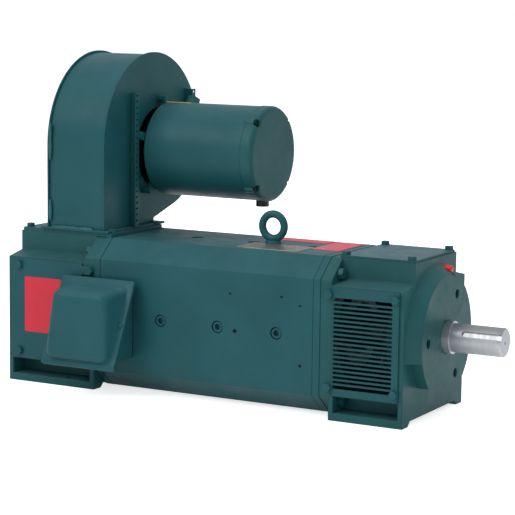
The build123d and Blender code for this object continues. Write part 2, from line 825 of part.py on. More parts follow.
bar_h = slot_depth - 2 * winding_gap
bar_mid_r = armature_r - slot_depth + winding_gap + bar_h / 2
end_turn_r = bar_mid_r + bar_h / 2
with BuildPart() as armature_winding:
    with BuildSketch(shaft_plane(core_start_x - end_turn_l / 2)):
        with PolarLocations(bar_mid_r, slot_count):
            Rectangle(bar_h, slot_w - 2 * winding_gap)
    extrude(amount=core_l + end_turn_l)
    for end_x in (core_start_x - end_turn_l, core_end_x):
        with BuildSketch(Plane.XZ):
            with Locations((end_x + end_turn_l / 2, shaft_height + (end_turn_in_r + end_turn_r) / 2)):
                RectangleRounded(
                    end_turn_l - 2 * end_turn_gap, end_turn_r - end_turn_in_r, slot_w
                )
        revolve(axis=shaft_axis)
armature_winding.part.label = "armature_winding"
export_step(armature_winding.part, "parts/armature_winding.step")

with BuildPart() as commutator:
    with BuildSketch(shaft_plane(comm_start_x - comm_l)):
        Circle(comm_r)
        Circle(shaft_body_r, mode=Mode.SUBTRACT)
    extrude(amount=comm_l)
    with BuildSketch(shaft_plane(comm_start_x - riser_l)):
        Circle(riser_r)
        Circle(shaft_body_r, mode=Mode.SUBTRACT)
    extrude(amount=riser_l)
commutator.part.label = "commutator"
export_step(commutator.part, "parts/commutator.step")

# Brush gear: rocker ring on the commutator-end hub, studs, boxes and sliding brushes
brush_turns = [0, 90, 180, 270]
with BuildPart() as rocker_ring:
    with BuildSketch(shaft_plane(rocker_x)):
        Circle(rocker_r)
        Circle(rocker_bore_r, mode=Mode.SUBTRACT)
        with PolarLocations(stud_reach, 4):
            with Locations((0, -stud_offset)):
                Circle(stud_r, mode=Mode.SUBTRACT)
    extrude(amount=-rocker_t)
rocker_ring.part.label = "rocker_ring"
export_step(rocker_ring.part, "parts/rocker_ring.step")

box_l = brush_l + 2 * (brush_fit + box_wall)
box_w = brush_w + 2 * (brush_fit + box_wall)
with BuildPart() as brush_studs:
    with BuildSketch(shaft_plane(rocker_x - rocker_t)):
        with PolarLocations(stud_reach, 4):
            with Locations((0, -stud_offset)):
                Circle(stud_r)
    extrude(amount=brush_x + box_l / 2 - rocker_x + rocker_t)
brush_studs.part.label = "brush_studs"
export_step(brush_studs.part, "parts/brush_studs.step")

with BuildPart() as brush_boxes:
    for turn in brush_turns:
        with BuildSketch(radial_plane(brush_x, turn, comm_r + box_lift)):
            Rectangle(box_l, box_w)
        extrude(amount=box_h)
        with BuildSketch(radial_plane(brush_x, turn, stud_reach - clamp_h / 2)):
            with Locations((0, (stud_offset + clamp_over) / 2)):
                Rectangle(box_l, stud_offset + clamp_over)
        extrude(amount=clamp_h)
        with BuildSketch(radial_plane(brush_x, turn, comm_r)):
            Rectangle(brush_l + 2 * brush_fit, brush_w + 2 * brush_fit)
        extrude(amount=stud_reach + clamp_h / 2 - comm_r, mode=Mode.SUBTRACT)
    with BuildSketch(shaft_plane(brush_x - box_l)):
        with PolarLocations(stud_reach, 4):
            with Locations((0, -stud_offset)):
                Circle(stud_r)
    extrude(amount=2 * box_l, mode=Mode.SUBTRACT)
brush_boxes.part.label = "brush_boxes"
export_step(brush_boxes.part, "parts/brush_boxes.step")

for number, turn in enumerate(brush_turns, 1):
    with BuildPart() as brush:
        with BuildSketch(radial_plane(brush_x, turn, comm_r - brush_gap)):
            Rectangle(brush_l, brush_w)
        extrude(amount=brush_h)
        with BuildSketch(shaft_plane(brush_x - brush_l)):
            Circle(comm_r + brush_gap)
        extrude(amount=2 * brush_l, mode=Mode.SUBTRACT)
    brush.part.label = f"brush_{number}"
    export_step(brush.part, f"parts/brush_{number}.step")


# Side covers: louvred at the drive end, plain at the commutator end
def side_cover(joint_x, outward, length, bolt_back, bolt_end):
    """Sheet over the side window on the -Y side, with an ear round each bolt."""
    start_x = joint_x + outward * (joint_flange_t + panel_flange_gap)
    end_x = joint_x + outward * (length - panel_end)
    bolts = []
    for bolt_x in (joint_x + outward * bolt_back, joint_x + outward * (length - bolt_end)):
        bolts += [(bolt_x, panel_bolt_low), (bolt_x, panel_bolt_high)]
    with BuildPart() as piece:
        with BuildSketch(Plane.XZ.offset(bracket_half_w)):
            with Locations(((start_x + end_x) / 2, (panel_low + panel_high) / 2)):
                Rectangle(abs(end_x - start_x), panel_high - panel_low)
            for bolt_x, bolt_z in bolts:
                with Locations((bolt_x, bolt_z)):
                    Circle(panel_ear_r)
                if abs(bolt_x - joint_x) < joint_flange_t:
                    with Locations(((bolt_x + start_x) / 2, bolt_z)):
                        Rectangle(abs(start_x - bolt_x), 2 * panel_ear_r)
        extrude(amount=panel_t)
    return piece, bolts


drive_cover, drive_cover_bolts = side_cover(
    drive_joint_x, 1, drive_bracket_l, drive_panel_bolt_back, drive_panel_bolt_end
)
louvre_x0 = drive_joint_x + joint_flange_t + panel_flange_gap + louvre_rim
louvre_x1 = drive_face_x - louvre_end
louvre_pitch = (louvre_high - louvre_low) / louvre_count
louvre_y = -bracket_half_w - panel_t
with BuildPart() as louvre_panel_near:
    add(drive_cover.part)
    with BuildSketch(Plane.XZ.offset(bracket_half_w)):
        with Locations(((louvre_x0 + louvre_x1) / 2, (louvre_low + louvre_high) / 2)):
            Rectangle(louvre_x1 - louvre_x0, louvre_high - louvre_low)
    extrude(amount=panel_t, mode=Mode.SUBTRACT)
    with BuildSketch(Plane.YZ.offset(louvre_x0)):
        for row in range(1, louvre_count):
            row_z = louvre_low + row * louvre_pitch - louvre_face / 2
            Polygon(
                (louvre_y, row_z),
                (louvre_y + louvre_depth, row_z + louvre_drop),
                (louvre_y + louvre_depth, row_z + louvre_drop + louvre_face / 2),
                (louvre_y, row_z + louvre_face),
                align=None,
            )
    extrude(amount=louvre_x1 - louvre_x0)
louvre_panel_near.part.label = "louvre_panel_near"
export_step(louvre_panel_near.part, "parts/louvre_panel_near.step")

with BuildPart() as louvre_panel_far:
    mirror(louvre_panel_near.part, about=Plane.XZ)
louvre_panel_far.part.label = "louvre_panel_far"
export_step(louvre_panel_far.part, "parts/louvre_panel_far.step")

comm_cover_near, comm_cover_bolts = side_cover(
    comm_joint_x, -1, comm_bracket_l, comm_panel_bolt_back, comm_panel_bolt_end
)
comm_cover_near.part.label = "comm_cover_near"
export_step(comm_cover_near.part, "parts/comm_cover_near.step")

with BuildPart() as comm_cover_far:
    mirror(comm_cover_near.part, about=Plane.XZ)
comm_cover_far.part.label = "comm_cover_far"
export_step(comm_cover_far.part, "parts/comm_cover_far.step")

# Hex heads on the side covers
with BuildPart() as cover_bolts:
    for side in (-1, 1):
        with BuildSketch(Plane.XZ.offset(-side * (bracket_half_w + panel_t))):
            for bolt in drive_cover_bolts + comm_cover_bolts:
                with Locations(bolt):
                    RegularPolygon(hex_small_af / 2, 6, major_radius=False)
        extrude(amount=-side * hex_small_h)
cover_bolts.part.label = "cover_bolts"
export_step(cover_bolts.part, "parts/cover_bolts.step")

# Plate over the drive-end neck, and its four hex heads
cover_start_x = drive_joint_x + joint_flange_t - cover_lap
cover_stop_x = drive_face_x - cover_end
with BuildPart() as neck_cover:
    with BuildSketch(Plane.XY.offset(frame_top_z)):
        with Locations(((cover_start_x + cover_stop_x) / 2, 0)):
            RectangleRounded(cover_stop_x - cover_start_x, 2 * cover_half_w, cover_round)
    extrude(amount=cover_t)
neck_cover.part.label = "neck_cover"
export_step(neck_cover.part, "parts/neck_cover.step")

cover_bolt_span = cover_stop_x - cover_start_x - 2 * cover_bolt_end
with BuildPart() as neck_bolts:
    with BuildSketch(Plane.XY.offset(frame_top_z + cover_t)):
        with Locations(((cover_start_x + cover_stop_x) / 2, 0)):
            with GridLocations(cover_bolt_span, 2 * cover_bolt_y, 2, 2):
                RegularPolygon(hex_small_af / 2, 6, major_radius=False)
    extrude(amount=hex_small_h)
neck_bolts.part.label = "neck_bolts"
export_step(neck_bolts.part, "parts/neck_bolts.step")

# Bolts that join the brackets to the frame, heads on the outer side of each flange
bracket_joints = [
    (drive_joint_x, 1, drive_window_back),
    (comm_joint_x, -1, comm_window_back),
]
with BuildPart() as bracket_bolts:
    for joint_x, outward, window_back in bracket_joints:
        for rise, seat in ((bracket_bolt_rise, joint_flange_t), (-bracket_bolt_rise, window_back)):
            for side in (-1, 1):
                with BuildSketch(end_plane(joint_x, outward).offset(seat)):
                    with Locations((side * bracket_bolt_y, rise)):
                        RegularPolygon(hex_big_af / 2, 6, major_radius=False)
                extrude(amount=hex_big_h)
                with BuildSketch(end_plane(joint_x, outward).offset(seat)):
                    with Locations((side * bracket_bolt_y, rise)):
                        Circle(bracket_bolt_d / 2)
                extrude(amount=-bracket_bolt_grip)
bracket_bolts.part.label = "bracket_bolts"
export_step(bracket_bolts.part, "parts/bracket_bolts.step")

# Lifting eyebolt screwed into the frame
with BuildPart() as eyebolt:
    with BuildSketch(Plane.XY.offset(frame_top_z + eye_rise)):
        with Locations((eye_x + eye_ring_r, 0)):
            Circle(eye_wire_r)
    revolve(axis=Axis((eye_x, 0, frame_top_z + eye_rise), (0, 1, 0)))
    with BuildSketch(Plane.XY.offset(frame_top_z)):
        with Locations((eye_x, 0)):
            Circle(eye_shoulder_r)
    extrude(amount=eye_shoulder_h, taper=12)
    with BuildSketch(Plane.XY.offset(frame_top_z)):
        with Locations((eye_x, 0)):
            Circle(eye_shank_r)
    extrude(amount=-eye_shank_l)
eyebolt.part.label = "eyebolt"
export_step(eyebolt.part, "parts/eyebolt.step")

# Terminal box base: a wedge of sheet steel whose open side slopes out towards the bottom
with BuildPart() as terminal_base:
    with BuildSketch(Plane.YZ.offset(tbox_x)):
        Polygon(
            (gasket_y, on_joint(lip_w)[1]),
            on_joint(lip_w),
            on_joint(joint_slope - lip_w),
            (gasket_y, on_joint(joint_slope - lip_w)[1]),
            align=None,
        )
    extrude(amount=tbox_l / 2 - lip_w, both=True)
    with BuildSketch(joint_plane):
        RectangleRounded(tbox_l, joint_slope, base_wall)
    extrude(amount=-lip_t)
    with BuildSketch(Plane.YZ.offset(tbox_x)):
        Polygon(
            (gasket_y - base_wall, on_joint(lip_w + base_wall)[1]),
            on_joint(lip_w + base_wall),
            on_joint(joint_slope - lip_w - base_wall),
            (gasket_y - base_wall, on_joint(joint_slope - lip_w - base_wall)[1]),
            align=None,
        )
    extrude(amount=tbox_l / 2 - lip_w - base_wall, both=True, mode=Mode.SUBTRACT)
    with BuildSketch(Plane.XZ.offset(-gasket_y)):
        with Locations((lead_x, back_mid)):
            Circle(lead_hole_r)
    extrude(amount=base_wall, mode=Mode.SUBTRACT)
    with BuildSketch(Plane.XY.offset(back_low)):
        with Locations((tbox_x, conduit_y)):
            Circle(conduit_r)
    extrude(amount=base_wall, mode=Mode.SUBTRACT)
terminal_base.part.label = "terminal_base"
export_step(terminal_base.part, "parts/terminal_base.step")

# Gasket between the terminal box and the frame, clear of the side cover
gasket_x0 = comm_joint_x - gasket_clear
gasket_x1 = tbox_x + back_l / 2
with BuildPart() as terminal_gasket:
    with BuildSketch(Plane.XZ.offset(frame_half_w)):
        with Locations(((gasket_x0 + gasket_x1) / 2, back_mid)):
            Rectangle(gasket_x1 - gasket_x0, back_high - back_low)
        with Locations((lead_x, back_mid)):
            Circle(lead_hole_r, mode=Mode.SUBTRACT)
    extrude(amount=gasket_t)
terminal_gasket.part.label = "terminal_gasket"
export_step(terminal_gasket.part, "parts/terminal_gasket.step")


def pan(inset):
    """Drawn body of the terminal box cover; inset 0 gives its outside, the sheet its inside."""
    front_y = -frame_half_w - pan_out + inset
    with BuildPart(mode=Mode.PRIVATE) as body:
        with BuildSketch(Plane.YZ.offset(tbox_x)):
            Polygon(
                on_joint(lip_w + inset),
                (front_y, pan_top_z - inset),
                (front_y, pan_low_z + inset),
                on_joint(joint_slope - lip_w - inset),
                align=None,
            )
        extrude(amount=back_l / 2 - inset, both=True)
        sides = body.faces().sort_by(Axis.X)
        corners = sides[0].edges() + sides[-1].edges()
        corners = corners.filter_by(lambda edge: abs((edge % 0.5).Y) > abs((edge % 0.5).Z))
        fillet(corners, pan_corner_r - inset)
        fillet(body.faces().sort_by(Axis.Y)[0].edges(), pan_rim_r - inset)
    return body.part


# Terminal box cover: a drawn pan with a flat rim on the sloping joint
pan_outside = pan(0)
pan_inside = pan(cover_sheet)
with BuildPart() as terminal_cover:
    add(pan_outside)
    with BuildSketch(joint_plane):
        RectangleRounded(tbox_l, joint_slope, base_wall)
    extrude(amount=cover_sheet)
    add(pan_inside, mode=Mode.SUBTRACT)
terminal_cover.part.label = "terminal_cover"
export_step(terminal_cover.part, "parts/terminal_cover.step")

# Screw heads in the middle of the cover's side rims
with BuildPart() as terminal_screws:
    with BuildSketch(joint_plane.offset(cover_sheet)):
        with GridLocations(tbox_l - lip_w, 0, 2, 1):
            Circle(box_screw_r)
    extrude(amount=box_screw_h)
terminal_screws.part.label = "terminal_screws"
export_step(terminal_screws.part, "parts/terminal_screws.step")

# Terminal strip on the back wall, above the lead hole
strip_y = gasket_y - base_wall
strip_z = back_mid + lead_hole_r + strip_h
with BuildPart() as terminal_strip:
    with BuildSketch(Plane.XZ.offset(-strip_y)):
        with Locations((tbox_x, strip_z)):
            Rectangle(strip_l, strip_h)
    extrude(amount=strip_t)
    with BuildSketch(Plane.XZ.offset(strip_t - strip_y)):
        with Locations((tbox_x, strip_z)):
            with GridLocations(strip_l / strip_posts, 0, strip_posts, 1):
                Circle(strip_post_r)
    extrude(amount=strip_post_h)
terminal_strip.part.label = "terminal_strip"
export_step(terminal_strip.part, "parts/terminal_strip.step")

# Adapter plate over the commutator-end neck, with the air duct through it
duct_x0 = scroll_back_x + duct_edge
duct_x1 = comm_joint_x - joint_flange_t - top_window_end
adapter_x0 = comm_face_x + adapter_back
adapter_x1 = comm_joint_x + adapter_front
with BuildPart() as adapter_plate:
    with BuildSketch(Plane.XY.offset(frame_top_z)):
        with Locations(((adapter_x0 + adapter_x1) / 2, 0)):
            Rectangle(adapter_x1 - adapter_x0, 2 * frame_flat_half)
        with Locations(((duct_x0 + duct_x1) / 2, 0)):
            Rectangle(duct_x1 - duct_x0, 2 * top_window_half_w, mode=Mode.SUBTRACT)
    extrude(amount=adapter_t)
adapter_plate.part.label = "adapter_plate"
export_step(adapter_plate.part, "parts/adapter_plate.step")

adapter_bolt_span = adapter_x1 - adapter_x0 - 2 * adapter_bolt_end
with BuildPart() as adapter_bolts:
    with BuildSketch(Plane.XY.offset(adapter_top_z)):
        with Locations(((adapter_x0 + adapter_x1) / 2, 0)):
            with GridLocations(adapter_bolt_span, 2 * adapter_bolt_y, 2, 2):
                RegularPolygon(hex_small_af / 2, 6, major_radius=False)
    extrude(amount=hex_small_h)
adapter_bolts.part.label = "adapter_bolts"
export_step(adapter_bolts.part, "parts/adapter_bolts.step")

# Base lip of the blower scroll
lip_x0 = scroll_back_x - base_lip_w
lip_x1 = scroll_face_x + base_lip_w
with BuildPart() as scroll_lip:
    with BuildSketch(Plane.XY.offset(adapter_top_z)):
        with Locations(((lip_x0 + lip_x1) / 2, (scroll_left - lip_near_w + cutoff_y + lip_far_w) / 2)):
            Rectangle(lip_x1 - lip_x0, cutoff_y + lip_far_w - scroll_left + lip_near_w)
        with Locations(((duct_x0 + duct_x1) / 2, 0)):
            Rectangle(duct_x1 - duct_x0, 2 * top_window_half_w, mode=Mode.SUBTRACT)
        with Locations((adapter_x1 - adapter_bolt_end, 0)):
            with GridLocations(0, 2 * adapter_bolt_y, 1, 2):
                Circle(hex_small_af / 2 + bolt_clear, mode=Mode.SUBTRACT)
    extrude(amount=base_lip_t)
scroll_lip.part.label = "scroll_lip"
export_step(scroll_lip.part, "parts/scroll_lip.step")


def scroll_outline(inset, sheet):
    """Closed outline of the scroll: throat wall, two arcs, straight run to the cut-off.

    The arcs and the throat wall move in by inset and sheet, the cut-off by sheet alone.
    """
    big_r = scroll_big_r - inset - sheet
    small_r = scroll_small_r - inset - sheet
    cut_y = cutoff_y - sheet
    turn = radians(scroll_turn)
    end_y = small_arc_y + small_r * cos(turn)
    end_z = scroll_mid_z - small_r * sin(turn)
    cut_z = end_z - (end_y - cut_y) * cos(turn) / sin(turn)
    with BuildLine(mode=Mode.PRIVATE) as outline:
        Line((big_arc_y - big_r, scroll_base_z), (big_arc_y - big_r, scroll_mid_z))
        CenterArc((big_arc_y, scroll_mid_z), big_r, 0, 180)
        CenterArc((small_arc_y, scroll_mid_z), small_r, 0, -scroll_turn)
        Polyline(
            (end_y, end_z), (cut_y, cut_z), (cut_y, scroll_base_z), (big_arc_y - big_r, scroll_base_z)
        )
    return outline.line


# Blower scroll: side plates that stand proud of the wrap between them, with a flanged
# inlet ring welded behind the motor-side plate
ring_x = scroll_face_x - plate_t
with BuildPart() as scroll_motor_plate:
    with BuildSketch(Plane.YZ.offset(scroll_face_x - plate_t)):
        with BuildLine():
            add(scroll_outline(0, 0))
        make_face()
        with Locations((blower_y, blower_z)):
            Circle(inlet_r, mode=Mode.SUBTRACT)
    extrude(amount=plate_t)
    with BuildSketch(Plane.XY.offset(blower_z)):
        with BuildLine():
            Polyline(
                (ring_x, blower_y + inlet_r + inlet_ring_t + inlet_ring_flare),
                (ring_x, blower_y + inlet_r),
                (ring_x - inlet_ring_l, blower_y + inlet_r),
                (ring_x - inlet_ring_l, blower_y + inlet_r + inlet_ring_t),
                (ring_x - inlet_ring_t, blower_y + inlet_r + inlet_ring_t),
                (ring_x - inlet_ring_t, blower_y + inlet_r + inlet_ring_t + inlet_ring_flare),
                close=True,
            )
        make_face()
    revolve(axis=Axis((0, blower_y, blower_z), (1, 0, 0)))
scroll_motor_plate.part.label = "scroll_motor_plate"
export_step(scroll_motor_plate.part, "parts/scroll_motor_plate.step")

with BuildPart() as scroll_back_plate:
    with BuildSketch(Plane.YZ.offset(scroll_back_x)):
        with BuildLine():
            add(scroll_outline(0, 0))
        make_face()
    extrude(amount=plate_t)
scroll_back_plate.part.label = "scroll_back_plate"
export_step(scroll_back_plate.part, "parts/scroll_back_plate.step")

with BuildPart() as scroll_wrap:
    with BuildSketch(Plane.YZ.offset(scroll_back_x + plate_t)):
        with BuildLine():
            add(scroll_outline(wrap_inset, 0))
        make_face()
    extrude(amount=scroll_w - 2 * plate_t)
    with BuildSketch(Plane.YZ.offset(scroll_back_x + plate_t)):
        with BuildLine():
            add(scroll_outline(wrap_inset, wrap_t))
        make_face()
    extrude(amount=scroll_w - 2 * plate_t, mode=Mode.SUBTRACT)
scroll_wrap.part.label = "scroll_wrap"
export_step(scroll_wrap.part, "parts/scroll_wrap.step")

# Slotted rails up the motor-side plate, one on each side of the blower motor
rail_sides = [
    (rail_low_y, -1, scroll_base_z),
    (rail_high_y, 1, rail_far_low_z),
]
with BuildPart() as inlet_rails:
    for rail_y, side, low_z in rail_sides:
        with BuildSketch(Plane.XY.offset(low_z)):
            Polygon(
                (scroll_face_x, rail_y),
                (scroll_face_x + rail_depth, rail_y),
                (scroll_face_x + rail_depth, rail_y + side * rail_flange),
                (scroll_face_x + rail_depth - rail_t, rail_y + side * rail_flange),
                (scroll_face_x + rail_depth - rail_t, rail_y + side * rail_t),
                (scroll_face_x, rail_y + side * rail_t),
                align=None,
            )
        extrude(amount=rail_top_z - low_z)
        with BuildSketch(Plane.YZ.offset(scroll_face_x + rail_depth - rail_t)):
            for row in range(int((rail_top_z - low_z) / rail_slot_pitch)):
                slot_z = rail_top_z - (row + 0.5) * rail_slot_pitch
                with Locations((rail_y + side * (rail_flange + rail_t) / 2, slot_z)):
                    Rectangle(rail_slot_w, rail_slot_h)
        extrude(amount=rail_t, mode=Mode.SUBTRACT)
inlet_rails.part.label = "inlet_rails"
export_step(inlet_rails.part, "parts/inlet_rails.step")

# Five-legged spider that holds the blower motor off the scroll
leg_turns = [90 + 360 / spider_legs * leg for leg in range(spider_legs)]
with BuildPart() as motor_spider:
    with BuildSketch(blower_plane(spider_x)):
        Circle(spider_r)
        for turn in leg_turns:
            with Locations(Rotation(0, 0, turn)):
                with Locations((leg_reach / 2, 0)):
                    Rectangle(leg_reach, 2 * leg_r)
                with Locations((leg_reach, 0)):
                    Circle(leg_r)
        Circle(spider_bore_r, mode=Mode.SUBTRACT)
    extrude(amount=spider_t)
    with BuildSketch(blower_plane(scroll_face_x)):
        with PolarLocations(leg_reach, spider_legs, start_angle=leg_turns[0]):
            Circle(leg_r)
    extrude(amount=stand_off - spider_t)
motor_spider.part.label = "motor_spider"
export_step(motor_spider.part, "parts/motor_spider.step")

# Blower motor: front bell, rolled shell and end bell with four screw lugs
front_bearing_x = shell_x + front_bell_t
with BuildPart() as fan_front_bell:
    with BuildSketch(blower_plane(shell_x)):
        Circle(shell_r)
    extrude(amount=front_bell_t)
    fillet(fan_front_bell.faces().sort_by(Axis.X)[0].edges(), front_bell_round)
    with BuildSketch(blower_plane(front_bearing_x)):
        Circle(bell_seat_r)
        Circle(fan_bearing_r, mode=Mode.SUBTRACT)
    extrude(amount=fan_bearing_w)
    with BuildSketch(blower_plane(shell_x)):
        Circle(fan_shaft_r + shaft_seal_gap)
    extrude(amount=front_bell_t, mode=Mode.SUBTRACT)
fan_front_bell.part.label = "fan_front_bell"
export_step(fan_front_bell.part, "parts/fan_front_bell.step")

with BuildPart() as fan_shell:
    with BuildSketch(blower_plane(front_bearing_x)):
        Circle(shell_r)
        Circle(shell_r - shell_t, mode=Mode.SUBTRACT)
    extrude(amount=shell_end_x - front_bearing_x)
fan_shell.part.label = "fan_shell"
export_step(fan_shell.part, "parts/fan_shell.step")

bell_face_x = shell_end_x + bell_l
back_bearing_x = bell_face_x - bell_wall - fan_bearing_w
with BuildPart() as fan_end_bell:
    with BuildSketch(blower_plane(shell_end_x)):
        Circle(bell_r)
    extrude(amount=bell_l)
    fillet(fan_end_bell.faces().sort_by(Axis.X)[-1].edges(), bell_round)
    with BuildSketch(blower_plane(shell_end_x)):
        Circle(bell_r - bell_wall)
        Circle(bell_seat_r, mode=Mode.SUBTRACT)
    extrude(amount=bell_l - bell_wall, mode=Mode.SUBTRACT)
    with BuildSketch(blower_plane(back_bearing_x)):
        Circle(fan_bearing_r)
    extrude(amount=-bell_l, mode=Mode.SUBTRACT)
    with BuildSketch(blower_plane(back_bearing_x)):
        Circle(fan_bearing_r)
    extrude(amount=fan_bearing_w, mode=Mode.SUBTRACT)
    with BuildSketch(blower_plane(shell_end_x)):
        with PolarLocations(lug_reach, 4, start_angle=45):
            Circle(lug_r)
    extrude(amount=lug_l)
    with BuildSketch(blower_plane(shell_end_x + lug_l)):
        with PolarLocations(lug_reach, 4, start_angle=45):
            Circle(lug_r)
    extrude(amount=bell_l, mode=Mode.SUBTRACT)
fan_end_bell.part.label = "fan_end_bell"
export_step(fan_end_bell.part, "parts/fan_end_bell.step")

with BuildPart() as fan_lug_screws:
    with BuildSketch(blower_plane(shell_end_x + lug_l)):
        with PolarLocations(lug_reach, 4, start_angle=45):
            Circle(lug_screw_r)
    extrude(amount=lug_screw_h)
fan_lug_screws.part.label = "fan_lug_screws"
export_step(fan_lug_screws.part, "parts/fan_lug_screws.step")

# Drain plug under the end bell, and the lead outlet high on the far side of the shell
drain_x = bell_face_x - drain_from_end
with BuildPart() as fan_drain_plug:
    with BuildSketch(Plane.XY.offset(blower_z - bell_r - drain_l)):
        with Locations((drain_x, blower_y)):
            Circle(drain_r)
    extrude(amount=2 * drain_l)
    with BuildSketch(blower_plane(drain_x - drain_r)):
        Circle(bell_r)
    extrude(amount=2 * drain_r, mode=Mode.SUBTRACT)
fan_drain_plug.part.label = "fan_drain_plug"
export_step(fan_drain_plug.part, "parts/fan_drain_plug.step")

outlet_out = Vector(0, cos(radians(outlet_turn)), sin(radians(outlet_turn)))
outlet_plane = Plane(
    origin=Vector(shell_x + outlet_from_front, blower_y, blower_z) + outlet_out * shell_r,
    x_dir=(1, 0, 0),
    z_dir=outlet_out,
)
with BuildPart() as fan_lead_outlet:
    with BuildSketch(outlet_plane.offset(-outlet_r)):
        Circle(outlet_r)
    extrude(amount=outlet_r + outlet_rise - outlet_nut_l)
    with BuildSketch(blower_plane(shell_x)):
        Circle(shell_r)
    extrude(amount=outlet_from_front + outlet_r, mode=Mode.SUBTRACT)
    with BuildSketch(outlet_plane.offset(outlet_rise - outlet_nut_l)):
        RegularPolygon(outlet_nut_af / 2, 6, major_radius=False)
    extrude(amount=outlet_nut_l)
fan_lead_outlet.part.label = "fan_lead_outlet"
export_step(fan_lead_outlet.part, "parts/fan_lead_outlet.step")

# Blower motor's works: stator, rotor, shaft and bearings
stator_x = (front_bearing_x + shell_end_x - stator_l) / 2
with BuildPart() as fan_stator:
    with BuildSketch(blower_plane(stator_x)):
        Circle(shell_r - shell_t)
        Circle(stator_in_r, mode=Mode.SUBTRACT)
    extrude(amount=stator_l)
fan_stator.part.label = "fan_stator"
export_step(fan_stator.part, "parts/fan_stator.step")

with BuildPart() as fan_rotor:
    with BuildSketch(blower_plane(stator_x)):
        Circle(stator_in_r - fan_rotor_gap)
        Circle(fan_shaft_r, mode=Mode.SUBTRACT)
    extrude(amount=stator_l)
fan_rotor.part.label = "fan_rotor"
export_step(fan_rotor.part, "parts/fan_rotor.step")

with BuildPart() as fan_shaft:
    with BuildSketch(blower_plane(wheel_x)):
        Circle(fan_shaft_r)
    extrude(amount=back_bearing_x + fan_bearing_w - shaft_end_gap - wheel_x)
fan_shaft.part.label = "fan_shaft"
export_step(fan_shaft.part, "parts/fan_shaft.step")

with BuildPart() as fan_bearings_outer:
    for bearing_x in (front_bearing_x, back_bearing_x):
        with BuildSketch(blower_plane(bearing_x)):
            Circle(fan_bearing_r)
            Circle(fan_shaft_r + fan_ring_t + bearing_gap, mode=Mode.SUBTRACT)
        extrude(amount=fan_bearing_w)
fan_bearings_outer.part.label = "fan_bearings_outer"
export_step(fan_bearings_outer.part, "parts/fan_bearings_outer.step")

with BuildPart() as fan_bearings_inner:
    for bearing_x in (front_bearing_x, back_bearing_x):
        with BuildSketch(blower_plane(bearing_x)):
            Circle(fan_shaft_r + fan_ring_t)
            Circle(fan_shaft_r, mode=Mode.SUBTRACT)
        extrude(amount=fan_bearing_w)
fan_bearings_inner.part.label = "fan_bearings_inner"
export_step(fan_bearings_inner.part, "parts/fan_bearings_inner.step")

# Blower wheel: hub and back plate, forward-curved blades, shroud ring at the inlet
with BuildSketch(mode=Mode.PRIVATE) as blade:
    with BuildLine():
        tip_y = blade_lean / 2
        mid_r = (wheel_in_r + wheel_r) / 2
        ThreePointArc((wheel_in_r, -tip_y), (mid_r, -blade_bow), (wheel_r - blade_t, tip_y))
        Line((wheel_r - blade_t, tip_y), (wheel_r - blade_t, tip_y - blade_t))
        ThreePointArc(
            (wheel_r - blade_t, tip_y - blade_t),
            (mid_r, -blade_bow - blade_t),
            (wheel_in_r, -tip_y - blade_t),
        )
        Line((wheel_in_r, -tip_y - blade_t), (wheel_in_r, -tip_y))
    make_face()
with BuildPart() as fan_wheel:
    with BuildSketch(blower_plane(wheel_x)):
        Circle(wheel_r)
        Circle(fan_shaft_r, mode=Mode.SUBTRACT)
    extrude(amount=wheel_plate_t)
    with BuildSketch(blower_plane(wheel_x)):
        Circle(wheel_hub_r)
        Circle(fan_shaft_r, mode=Mode.SUBTRACT)
    extrude(amount=wheel_hub_l)
    with BuildSketch(blower_plane(wheel_x + wheel_plate_t)):
        with PolarLocations(0, blade_count):
            add(blade.sketch)
    extrude(amount=wheel_w - 2 * wheel_plate_t)
    with BuildSketch(blower_plane(wheel_x + wheel_w - wheel_plate_t)):
        Circle(wheel_r)
        Circle(wheel_in_r, mode=Mode.SUBTRACT)
    extrude(amount=wheel_plate_t)
fan_wheel.part.label = "fan_wheel"
export_step(fan_wheel.part, "parts/fan_wheel.step")
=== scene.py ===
import bpy
import numpy as np
from mathutils import Matrix, Vector


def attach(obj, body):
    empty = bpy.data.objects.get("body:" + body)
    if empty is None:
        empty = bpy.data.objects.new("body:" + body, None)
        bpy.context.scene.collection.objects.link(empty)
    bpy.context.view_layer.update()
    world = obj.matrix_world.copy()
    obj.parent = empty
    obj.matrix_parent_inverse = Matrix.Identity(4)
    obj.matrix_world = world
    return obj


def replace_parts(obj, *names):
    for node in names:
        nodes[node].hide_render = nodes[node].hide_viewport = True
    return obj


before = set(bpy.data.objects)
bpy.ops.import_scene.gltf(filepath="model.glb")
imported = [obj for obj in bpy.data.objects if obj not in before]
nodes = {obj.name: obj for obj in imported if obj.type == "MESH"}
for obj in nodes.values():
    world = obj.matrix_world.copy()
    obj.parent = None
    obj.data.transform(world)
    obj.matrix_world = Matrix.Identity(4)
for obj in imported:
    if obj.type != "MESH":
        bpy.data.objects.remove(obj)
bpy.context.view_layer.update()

# All sizes are metres in the part's own frame: +X to the drive end, +Z up, terminal box on -Y.
MM = 0.001
FRAME_TOP = 0.262
SHAFT_Z = 0.13335
SIDE_Y = -0.1236
COVER_Y = -0.1256
BLOWER_Y = 0.095
BLOWER_Z = 0.405
BARREL_R = 0.08285
TBOX_X_MM = -198.7
PLATE_THICK = 0.0008
BARS = 72


